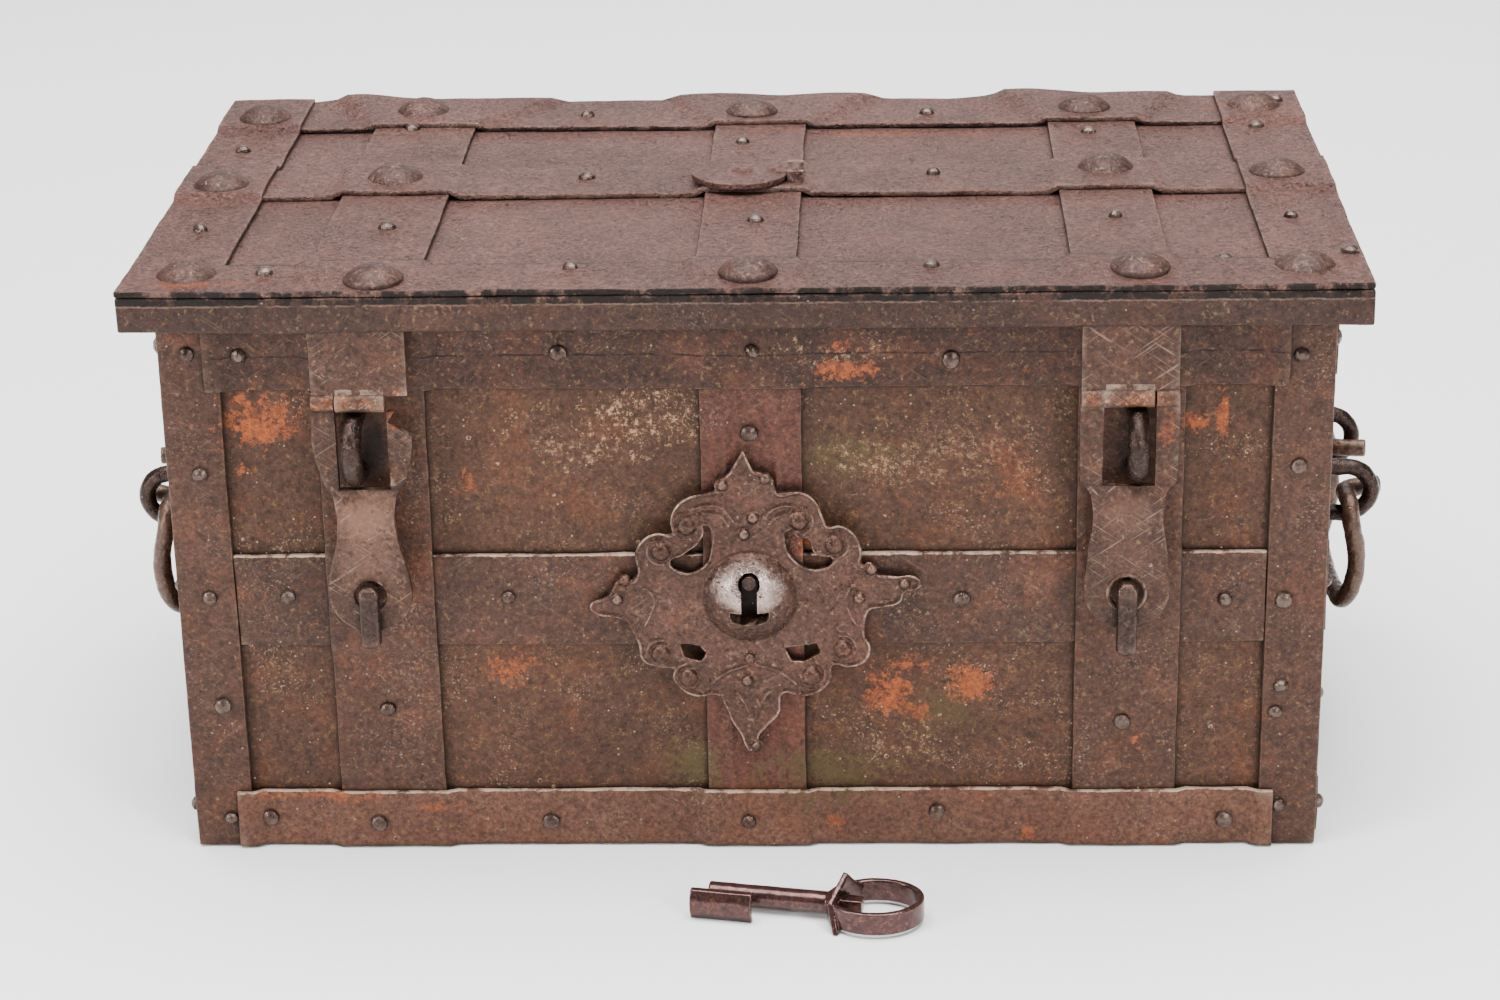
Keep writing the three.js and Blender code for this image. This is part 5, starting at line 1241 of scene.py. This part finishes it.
padlockLoop = {"xs": (-0.2155, 0.215), "middle": 0.2517, "half": 0.0165, "bar": 0.0122, "wall": 0.174,
               "end": 0.183, "arc": 0.183, "bend": (35, 70, 90, 110, 145)}


def makePadlockLoops():
    loop = padlockLoop
    path = loopPath(loop)
    for x, side in zip(loop["xs"], ("left", "right")):
        bar = bendBar(f"padlockLoop{side.title()}", [(x, -out, z) for out, z in path], loop["bar"], 20)
        pitBar(bar, 0.0009)
        place(bar, "chest", iron["forged"], "pitted_iron", f"padlock_staple_{side}")


eyeLoop = {"ys": (-0.045, 0.045), "middle": 0.168, "half": 0.0145, "bar": 0.010, "wall": 0.3215, "end": 0.3425,
           "arc": 0.3505, "bend": (15, 50, 90, 130, 165)}
# a handle: its pivot, how far it hangs, its bow away from the wall, and the ends that stick out of the eyes
bailBar = {"pivotX": 0.3505, "pivotZ": 0.1645, "grip": 0.066, "bow": 0.0055, "arm": 0.062, "bar": 0.011,
           "hook": 0.0213, "hookY": 0.033}


def makeHandles():
    bail = bailBar
    eyePath = loopPath(eyeLoop)
    for sign, side in ((-1, "left"), (1, "right")):
        for y, end in zip(eyeLoop["ys"], ("front", "rear")):
            path = [(sign * out, y, z) for out, z in eyePath]
            bar = bendBar(f"eyeLoop{side.title()}{end.title()}", path, eyeLoop["bar"], 20)
            pitBar(bar, 0.001)
            place(bar, "chest", iron["forged"], "pitted_iron", f"handle_eye_{side}_{end}")
        hookY, arm, grip = -bail["hookY"], -bail["arm"], -bail["grip"]
        points = [(bail["hook"], hookY + 0.003, 0.001), (bail["hook"] * 0.45, hookY + 0.001, 0.0005),
                  (0.0008, hookY - 0.004, 0), (0, eyeLoop["ys"][0], 0), (0.0005, arm + 0.005, -0.001),
                  (0.0010, arm, -0.009), (bail["bow"], arm + 0.0005, grip * 0.48),
                  (0.0035, arm + 0.002, grip + 0.013), (-0.0005, arm + 0.010, grip + 0.002),
                  (-0.002, arm + 0.024, grip)]
        points += [(x, -y, z) for x, y, z in reversed(points)]
        path = [(sign * (bail["pivotX"] + x), y, bail["pivotZ"] + z) for x, y, z in points]
        bar = bendBar(f"bail{side.title()}", path, bail["bar"], 20)
        pitBar(bar, 0.0011)
        place(bar, f"{side}_bail", iron["bail"], "pitted_iron", f"bail_{side}")


makePadlockLoops()
makeHandles()
print("staples and handles bent")


# Hasps and the straps they hang from

haspForm = {"xs": (-0.2105, 0.2105), "half": 0.0265, "top": 0.2745, "hinge": 0.2795, "hingeY": -0.188,
            "ring": 0.005, "thick": 0.004, "upperY": -0.186, "lowerY": -0.191, "slotHalf": 0.01435,
            "slotFrom": 0.2285, "slotTo": 0.32, "stepZ": 0.2265, "hole": 0.0093, "holeZ": 0.1665, "holeY": -0.193,
            "end": 0.0235, "endZ": 0.1685, "endAngles": (0, 12, 24, 36, 47, 57, 66, 74, 80, 84.5),
            "strapTop": 0.338, "strapBottom": 0.2855, "strapY": -0.187, "knuckle": 0.0137, "play": 0.0006,
            "rows": 35, "rowStep": 0.0029, "cutterY": -0.19, "cutterDepth": 0.04}
# height and half width of each hasp from its hinge down, in millimetres
haspOutlines = {
    "left": [(274.5, 27.6), (255, 27.6), (247, 26.6), (239.6, 24.6), (234, 22.8), (228.8, 20.6), (224.5, 18.2),
             (221, 16.6), (212, 15.5), (200, 16.7), (192, 18.6), (187, 20.1), (181, 21.6), (175, 22.8)],
    "right": [(274.5, 26.8), (240, 26.8), (231, 26.2), (227, 24.0), (222, 20.4), (214, 19), (205, 19.6), (195, 21.2),
              (186, 22.4), (176, 23)]}


def haspHalf(side, z):
    if z <= haspForm["endZ"] + 0.004:
        return math.sqrt(max(0.0, haspForm["end"] ** 2 - (z - haspForm["endZ"]) ** 2))
    outline = haspOutlines[side]
    for (high, wide), (low, narrow) in zip(outline, outline[1:]):
        if low * mm <= z <= high * mm:
            share = (z / mm - low) / (high - low)
            return (narrow + (wide - narrow) * share) * mm
    return haspForm["end"]


def barrelAcross(name, x, width, radius, y, z, sides=24):
    piece = addRod(name, (x, y, z), radius, width, "x", sides)
    startEdit(piece, "EDGE")
    for at in evenly(x - width / 2, x + width / 2, 5)[1:-1]:
        sliceAll((at, y, z), alongX)
    endEdit()
    return piece


def makeHasp(x, side):
    form = haspForm
    heights = [form["top"] - i * form["rowStep"] for i in range(form["rows"])]
    heights = [z for z in heights if z > form["endZ"] + 0.002]
    heights += [form["endZ"] - form["end"] * math.sin(math.radians(angle)) for angle in form["endAngles"]]
    step = form["stepZ"]
    depths = [form["upperY"] if z > step else max(form["lowerY"], form["upperY"] - (step - z)) for z in heights]
    stations = [(x, y, z) for y, z in zip(depths, heights)]
    piece = layStrap(f"hasp{side.title()}", stations, -alongY, 2 * form["half"], 18)
    startEdit(piece)
    for z in heights:
        pick(piece, lambda m: abs(m.z - z) < 0.00004)
        bpy.ops.transform.resize(value=(haspHalf(side, z) / form["half"], 1, 1), center_override=(x, 0, z))
    endEdit()
    modify(piece, "SOLIDIFY", thickness=form["thick"], offset=1, use_even_offset=False)
    low, high, depth = form["slotFrom"], form["slotTo"], form["cutterDepth"]
    slotSize = (2 * form["slotHalf"], depth, high - low)
    cutters = [addBlock("slotCutter", (x, form["cutterY"], (low + high) / 2), slotSize),
               addRod("holeCutter", (x, form["holeY"], form["holeZ"]), form["hole"], depth, "y", 32)]
    if side == "left":  # its upper right corner is torn off
        corner = (x + form["half"] + 0.001, form["cutterY"], form["top"] + 0.001)
        cutters.append(addBlock("tearCutter", corner, (0.014, depth, 0.026), rotation=(0, math.radians(33), 0)))
    cutWith(piece, *cutters)
    knuckles = []
    width = form["half"] - form["knuckle"] - form["play"]
    for sign in (-1, 1):
        if side == "left" and sign == 1:
            continue
        middle = x + sign * (form["knuckle"] + form["play"] + width / 2)
        knuckles.append(barrelAcross("knuckle", middle, width, form["ring"] * 1.06, form["hingeY"], form["hinge"]))
    joined = joinPieces(piece.name, [piece] + knuckles)
    if side == "right":
        rim = addPiece("holeRim", "torus", major_radius=form["hole"] + 0.0012, minor_radius=0.0011, major_segments=36,
                       minor_segments=8, location=(x, -0.195, form["holeZ"]), rotation=(math.pi / 2, 0, 0))
        applyPlace(rim)
        joined = joinPieces(joined.name, [joined, rim])
    bevelEdges(joined, 0.0007, 2, 50)
    hammerOver(joined, wander=0.9, dent=0.9, pit=1.4)
    smoothShade(joined)
    place(joined, f"{side}_hasp", iron["hasp"], "strap_iron", f"hasp_{side}")


def makeHaspStrap(x, side):
    form = haspForm
    left, right = crossRange(f"hasp_strap_{side}")
    middle = (left + right) / 2
    heights = heightsAlong(form["strapBottom"] - 0.002, form["strapTop"])
    stations = [(middle, form["strapY"], z) for z, level in heights]
    piece = layStrap(f"haspStrap{side.title()}", stations, -alongY, right - left)
    modify(piece, "SOLIDIFY", thickness=0.003, offset=1)
    shift = 0 if side == "left" else -0.0006
    roll = barrelAcross("roll", x + shift, 2 * form["knuckle"], form["ring"] * 1.1, form["hingeY"], form["hinge"])
    web = addBlock("rollWeb", (x, -0.1885, 0.284), (2 * form["knuckle"], 0.0032, 0.008))
    joined = joinPieces(piece.name, [piece, roll, web])
    bevelEdges(joined, 0.0006, 2, 50)
    hammerOver(joined, wander=0.7, dent=0.8, pit=1.3)
    smoothShade(joined)
    place(joined, "lid", iron["hasp"], "strap_iron", f"hasp_strap_{side}")


toggleForm = {"pivotY": -0.1999, "pivotZ": 0.1695, "width": 0.0112, "thick": 0.0105,
              "lows": {"left": 0.1375, "right": 0.1315}, "high": 0.1752, "rows": 12,
              "tongue": 0.0044, "tongueFrom": -0.174, "tongueTo": -0.2040, "slot": 0.0052, "pin": 0.0013}


def makeToggle(x, side):
    form = toggleForm
    low, high = form["lows"][side], form["high"]
    middle = (low + high) / 2
    bar = addBlock(f"toggle{side.title()}", (x, form["pivotY"], middle), (form["width"], form["thick"], high - low))
    startEdit(bar)
    for z in evenly(low, high, form["rows"])[1:-1]:
        sliceAll((x, form["pivotY"], z), alongZ)
    for height, size in ((high, 0.62), (low, 0.66)):
        pick(bar, lambda m: abs(m.z - height) < 0.0001)
        bpy.ops.transform.resize(value=(size, size, 1), center_override=(x, form["pivotY"], height))
    endEdit()
    bevelEdges(bar, 0.0022, 4, 40)
    slotAt = (x, form["pivotY"] + 0.003, form["pivotZ"] - 0.001)
    cutWith(bar, addBlock("slotCutter", slotAt, (form["slot"], 0.012, 0.0115)))
    hammerOver(bar, wander=0.5, dent=1.2, pit=2)
    smoothShade(bar, 50)
    place(bar, f"{side}_toggle", iron["forged"], "pitted_iron", f"toggle_{side}")
    near, far = form["tongueFrom"], form["tongueTo"]
    tongue = addBlock(f"tongue{side.title()}", (x, (near + far) / 2, form["pivotZ"]),
                      (form["tongue"], near - far, 0.0096))
    pin = barrelAcross("tonguePin", x, form["width"] * 0.98, form["pin"], form["pivotY"], form["pivotZ"], 12)
    joined = joinPieces(tongue.name, [tongue, pin])
    bevelEdges(joined, 0.0007, 2, 50)
    smoothShade(joined)
    place(joined, "chest", iron["forged"], "pitted_iron")


for haspX, haspSide in zip(haspForm["xs"], ("left", "right")):
    makeHasp(haspX, haspSide)
    makeHaspStrap(haspX, haspSide)
    makeToggle(haspX, haspSide)
print("hasps and toggles hung")


# Dummy lock plate: scrolls, points and a domed keyhole, melted into one casting

scrollPlate = {"x": 0.001, "z": 0.157, "front": -0.181, "back": -0.178, "voxel": 0.0008, "domeRadius": 0.027,
               "domeHeight": 0.0135, "domeRise": 2.5, "rim": 0.0018, "line": 0.0015, "boss": 0.0056, "curl": 9.5,
               "nail": 0.0034, "keyholeZ": 14.2}
# all outlines on the plate are in millimetres from its middle, across and up
plateOutline = [
    (-2.3, 90.4), (0.4, 83.8), (3.9, 77.9), (8.5, 77.2), (13.3, 74.2), (14.8, 69.0), (16.5, 65.0), (28.8, 65.9),
    (37.3, 60.9), (41.5, 51.0), (44.5, 44.7), (51.6, 45.3), (59.8, 39.6), (63.1, 29.9), (63.1, 20.9), (68.3, 22.9),
    (72.0, 15.5), (80.6, 14.1), (96.0, 12.4), (96.6, 8.7), (87.4, 4.7), (85.2, -0.7), (74.3, -4.0), (68.1, -5.4),
    (65.0, -12.1), (64.6, -22.3), (67.7, -29.1), (64.8, -37.7), (56.1, -41.1), (46.7, -40.0), (44.8, -49.6),
    (38.1, -56.5), (28.7, -59.2), (17.7, -57.8), (15.0, -70.2), (8.6, -77.8), (2.8, -86.9), (5.2, -91.1),
    (0.1, -95.3), (-3.6, -91.1), (-6.0, -84.1), (-11.2, -75.3), (-15.1, -64.9), (-18.7, -59.0), (-32.5, -59.0),
    (-41.2, -53.4), (-43.4, -42.4), (-52.4, -40.6), (-61.4, -37.1), (-63.6, -26.9), (-67.4, -17.6), (-71.8, -11.5),
    (-78.0, -9.4), (-88.8, -6.7), (-90.9, -2.9), (-80.1, 2.8), (-74.1, 13.6), (-70.3, 15.6), (-67.1, 11.5),
    (-62.8, 17.2), (-64.0, 28.9), (-59.7, 37.3), (-52.2, 41.2), (-42.4, 40.8), (-43.7, 48.8), (-40.0, 58.1),
    (-32.5, 63.3), (-23.3, 65.2), (-18.4, 66.5), (-17.9, 71.8), (-11.4, 75.7), (-7.0, 82.2)]
plateCuts = [
    [(-26.2, 46.7), (-21.6, 45.4), (-20.7, 30.4), (-24.3, 21.4), (-33.1, 16.4), (-42.0, 18.8), (-44.7, 23.5),
     (-37.8, 28.1), (-34.0, 30.8), (-28.6, 35.4), (-25.7, 41.4)],
    [(19.6, 41.2), (23.9, 43.5), (27.8, 38.5), (33.3, 37.8), (36.6, 29.7), (43.7, 27.0), (49.3, 28.3), (44.9, 20.3),
     (35.0, 18.4), (25.8, 23.1), (20.6, 31.2)],
    [(-39.8, -26.6), (-29.2, -27.7), (-25.3, -32.5), (-28.2, -37.6), (-37.5, -34.8)],
    [(19.4, -29.3), (36.9, -27.0), (39.0, -32.4), (29.9, -37.9), (23.0, -37.5)]]
plateBosses = [(-34.8, 45.5), (-49.4, 30.5), (28.0, 48.4), (47.9, 34.0), (-35.8, -47.1), (-51.3, -32.5),
               (33.8, -46.4), (51.8, -30.0)]
plateNails = [(2.5, 50.2), (-2.6, 40.3), (-14.0, 69.8), (9.7, 73.9), (68.3, 18.9), (61.1, 1.4), (-70.4, 12.9),
              (-74.5, 1.4), (-0.7, -35.0), (-2.2, -48.7), (2.1, -90.3), (86.8, 10.1)]
plateLines = [
    [(-30.8, 55.5), (-23.5, 57.6), (-14.2, 55.6), (-8.4, 47.7)],
    [(-29.0, 51.0), (-22.0, 53.0), (-15.0, 50.6), (-11.0, 45.0)],
    [(8.0, 49.0), (15.0, 55.6), (24.0, 57.0), (33.0, 54.4)], [(11.0, 46.0), (17.0, 51.0), (24.0, 52.6), (30.0, 51.0)],
    [(-24.0, -52.0), (-14.0, -44.0), (-6.0, -41.0), (0.0, -39.0)],
    [(26.0, -52.0), (16.0, -44.0), (8.0, -41.0), (1.0, -39.0)],
    [(-10.0, -56.0), (-5.0, -62.0), (-1.0, -72.0)], [(10.0, -56.0), (6.0, -62.0), (2.0, -72.0)],
    [(-60.0, 8.0), (-54.0, 2.0), (-56.0, -8.0), (-60.0, -16.0)],
    [(58.0, 10.0), (54.0, 2.0), (56.0, -8.0), (60.0, -16.0)]]


def onPlate(x, z, y=scrollPlate["front"]):
    return Vector((scrollPlate["x"] + x * mm, y, scrollPlate["z"] + z * mm))


def cutout(name, outline, nearY, farY):
    # a flat shape drawn point by point in front of the plate, then pulled back through it
    piece = addPiece(name, "circle", vertices=len(outline), radius=0.01, fill_type="NGON",
                     location=onPlate(0, 0, nearY), rotation=(math.pi / 2, 0, 0))
    applyPlace(piece)
    startEdit(piece)
    for i, (x, z) in enumerate(outline):
        bpy.ops.mesh.select_all(action="DESELECT")
        shape = bmesh.from_edit_mesh(piece.data)
        shape.verts.ensure_lookup_table()
        corner = shape.verts[i]
        corner.select_set(True)
        shape.select_flush_mode()
        bpy.ops.transform.translate(value=onPlate(x, z, nearY) - corner.co)
    selectAll()
    bpy.ops.mesh.extrude_region_move(TRANSFORM_OT_translate={"value": (0, farY - nearY, 0)})
    selectAll()
    bpy.ops.mesh.normals_make_consistent(inside=False)
    endEdit()
    return piece


def makeScrollPlate():
    form = scrollPlate
    front, back = form["front"], form["back"]
    plate = cutout("scrollPlate", plateOutline, front, back)
    modify(plate, "REMESH", mode="VOXEL", voxel_size=form["voxel"])
    for outline in plateCuts:
        cutWith(plate, cutout("scrollCutter", outline, front - 0.01, back + 0.01))
    details = [plate]
    for x, z in plateBosses:
        details += [addBall("scrollBoss", onPlate(x, z), form["boss"], (1, 0.72, 1)), curlRidge(x, z, form["curl"])]
    for x, z in plateNails:
        details.append(addBall("nailHead", onPlate(x, z), form["nail"], (1, 1, 1)))
    rim = [onPlate(x * 0.985, z * 0.985, front - 0.0003) for x, z in plateOutline]
    details.append(bendBar("plateRim", rim + rim[:1], form["rim"], 8))
    for outline in plateCuts[:2]:
        path = [onPlate(x, z) for x, z in outline]
        details.append(bendBar("cutRim", path + path[:1], form["rim"], 8))
    for line in plateLines:
        details.append(bendBar("plateLine", [onPlate(x, z, front - 0.0003) for x, z in line], form["line"], 8))
    ball = (form["domeRadius"] ** 2 + form["domeHeight"] ** 2) / (2 * form["domeHeight"])
    sunk = onPlate(0, form["domeRise"], front - form["domeHeight"] + ball)
    dome = addPiece("lockDome", "uv_sphere", segments=64, ring_count=48, radius=ball, location=sunk)
    applyPlace(dome)
    startEdit(dome)
    sliceAll(onPlate(0, 0, back - 0.0003), alongY, clear_outer=True, use_fill=True)
    endEdit()
    details.append(dome)
    plate = joinPieces("scrollPlate", details)
    fuse(plate, form["voxel"], 2, 0.4)
    cutKeyhole(plate)
    roughen(plate, 0.0012, 0.0006)
    smoothShade(plate, 60)
    place(plate, "chest", iron["plate"], "strap_iron", "dummy_lock_plate")
    pin = addRod("lockPin", onPlate(0, form["keyholeZ"], -0.182), 0.0042, 0.018, "y", 28)
    bevelEdges(pin, 0.0009, 3)
    smoothShade(pin)
    place(pin, "chest", iron["forged"], "pitted_iron")


def curlRidge(x, z, r):
    # a raised line that winds round each boss the way its scroll turns
    turn = math.atan2(z, x)
    way = 1 if x * z > 0 else -1
    path = []
    for i in range(9):
        angle = turn + way * (i * 0.62 - 2.4)
        reach = r * (0.9 - 0.04 * i)
        path.append(onPlate(x + reach * math.cos(angle), z + reach * math.sin(angle), scrollPlate["front"] - 0.0001))
    return bendBar("curlRidge", path, 0.002, 8)


def cutKeyhole(plate):
    # a round head, a shaft and a foot
    near, far = -0.21, -0.17
    head = addRod("keyCutter", onPlate(0, scrollPlate["keyholeZ"], (near + far) / 2), 0.0062, far - near, "y", 32)
    shaft = cutout("keyCutter", [(-4.6, 13), (4.6, 13), (4.6, -4), (-4.6, -4)], near, far)
    foot = cutout("keyCutter", [(-11, -2.6), (11, -2.6), (11, -6.4), (9.5, -8.6), (6, -10.2), (-6, -10.2),
                                (-9.5, -8.6), (-11, -6.4)], near, far)
    cutWith(plate, head, shaft, foot)


makeScrollPlate()
print("dummy lock plate cast")


# Keyhole cover on the lid, its lugs on the cross strap

coverForm = {"x": -0.007, "y": 0.008, "radius": 0.029, "low": 0.3483, "high": 0.3523, "pinX": 0.0256, "pinZ": 0.3519,
             "ring": 0.0036, "pin": 0.0018, "knuckle": 0.016, "play": 0.0026}
coverBumps = (
    # name, centre, radius, how it is squashed
    ("coverHump", (0.0156, 0.009, 0.3508), 0.0075, (1, 1.1, 0.62)),
    ("coverRivet", (-0.006, 0.006, 0.3517), 0.0052, (1.3, 0.8, 0.6)),
)


def makeCover():
    form = coverForm
    thick, middle = form["high"] - form["low"], (form["low"] + form["high"]) / 2
    disc = addRod("keyholeCover", (form["x"], form["y"], middle), form["radius"], thick, "z", 72)
    pinAt = Vector((form["pinX"], form["y"], form["pinZ"]))
    knuckle = addRod("coverKnuckle", pinAt, form["ring"], form["knuckle"], "y", 24)
    tail = addBlock("coverTail", pinAt - Vector((0.006, 0, 0.0005)), (0.012, form["knuckle"], 0.0042))
    bumps = [addBall(name, centre, radius, squash, 24, 12) for name, centre, radius, squash in coverBumps]
    joined = joinPieces("keyholeCover", [disc, knuckle, tail] + bumps)
    fuse(joined, 0.0007, 2, 0.4)
    roughen(joined, 0.0007, 0.0004)
    smoothShade(joined, 60)
    place(joined, "key_cover", iron["lid"], "lid_iron", "keyhole_cover")
    lugs = []
    for sign in (-1, 1):
        beside = form["y"] + sign * (form["knuckle"] / 2 + form["play"])
        lugs.append(addBlock("coverLug", (form["pinX"], beside, 0.3494), (0.0095, 0.004, 0.0105)))
    return lugs + [addRod("coverPin", pinAt, form["pin"], form["knuckle"] + 0.008, "y", 20)]


lidCross = joinPieces("lidCrossStrap", [lidCross] + makeCover())
smoothShade(lidCross)
place(lidCross, "lid", iron["lid"], "lid_iron", "lid_strap_cross")
print("keyhole cover hinged")


# The key on the floor

keyForm = {"x": -0.022, "y": -0.248, "z": 0.009, "turn": -0.19, "length": 0.070, "shank": 0.006, "voxel": 0.0006,
           "floor": -0.0088, "ringX": 0.0943, "ringTurn": 0.22, "ringHalfX": 0.027, "ringHalfY": 0.022,
           "bore": 0.0033, "flangeHalf": 0.0088, "flangeCurve": 0.003, "collarX": 0.077}
# corners of the collar between shank and ring, in millimetres
collarOutline = [(0, 3, 18), (-6, -15, 7), (-1, -22, -8.8), (3, 13, -8.8), (6, 16, 3)]


def makeKey():
    form = keyForm
    shank = addRod("key", (form["length"] / 2, 0, 0), form["shank"], form["length"], "x", 40)
    cutWith(shank, addRod("keyBore", (0, 0, 0), form["bore"], 0.03, "x", 24))
    web = addBlock("keyWeb", (0.009, -0.009, 0), (0.012, 0.016, 0.0042))
    half = form["flangeHalf"]
    flange = addBlock("keyFlange", (0.010, -0.017, 0), (0.035, 0.004, 2 * half))
    rows = evenly(-half, half, 10)
    startEdit(flange)
    for z in rows[1:-1]:
        sliceAll((0, 0, z), alongZ)
    for z in rows:  # the flange curves toward the shank at its edges
        pick(flange, lambda m: abs(m.z - z) < 0.0001)
        bpy.ops.transform.translate(value=(0, form["flangeCurve"] * (z / half) ** 2, 0))
    endEdit()
    collar = addPiece("keyCollar", "circle", vertices=len(collarOutline), radius=0.01, fill_type="NGON",
                      location=(form["collarX"], 0, 0), rotation=(0, math.pi / 2, 0))
    applyPlace(collar)
    startEdit(collar)
    for i, (x, y, z) in enumerate(collarOutline):
        shape = bmesh.from_edit_mesh(collar.data)
        shape.verts.ensure_lookup_table()
        spot = shape.verts[i].co.copy()
        pick(collar, lambda m: (m - spot).length < 0.000001)
        bpy.ops.transform.translate(value=Vector((form["collarX"] + x * mm, y * mm, z * mm)) - spot)
    selectAll()
    bpy.ops.mesh.poke()
    pick(collar, lambda m: m.yz.length < 0.005)
    bpy.ops.transform.translate(value=(-0.005, 0, 0))
    endEdit()
    modify(collar, "SOLIDIFY", thickness=0.0032, offset=0)
    stub = addBlock("keyStub", (0.078, 0, 0), (0.018, 0.008, 0.008))
    ring = addPiece("keyRing", "cylinder", vertices=72, radius=1, depth=0.013, end_fill_type="NOTHING",
                    location=(form["ringX"], 0, 0), rotation=(0, 0, form["ringTurn"]),
                    scale=(form["ringHalfX"], form["ringHalfY"], 1))
    applyPlace(ring)
    modify(ring, "SOLIDIFY", thickness=0.0035, offset=-1)
    key = joinPieces("forgedKey", [shank, web, flange, collar, stub, ring])
    startEdit(key)
    sliceAll((0, 0, form["floor"]), alongZ, clear_inner=True, use_fill=True)
    endEdit()
    fuse(key, form["voxel"], 3, 0.5)
    key.matrix_world = Matrix.Translation((form["x"], form["y"], form["z"])) @ Matrix.Rotation(form["turn"], 4, "Z")
    applyPlace(key)
    roughen(key, 0.0005, 0.0002)
    smoothShade(key, 60)
    place(key, "loose_key", iron["key"], "key_iron", "key")


makeKey()
print("key forged")

# CAD pieces that stay as they are get their iron

keptNodes = {
    "wall": ("bottom_plate", "rim_lip"),
    "lid": ("lid_hinge_leaf_left", "lid_hinge_leaf_right"),
    "lock": ("lock_carrier_plate", "driver_bridge", "lock_driver", "bolt_slide_left", "bolt_slide_right",
             "bolt_slide_front", "bolt_slide_rear"),
}
for kind, names in keptNodes.items():
    for name in names:
        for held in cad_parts[name].material_slots:
            held.material = iron[kind]

print("strongbox finished")
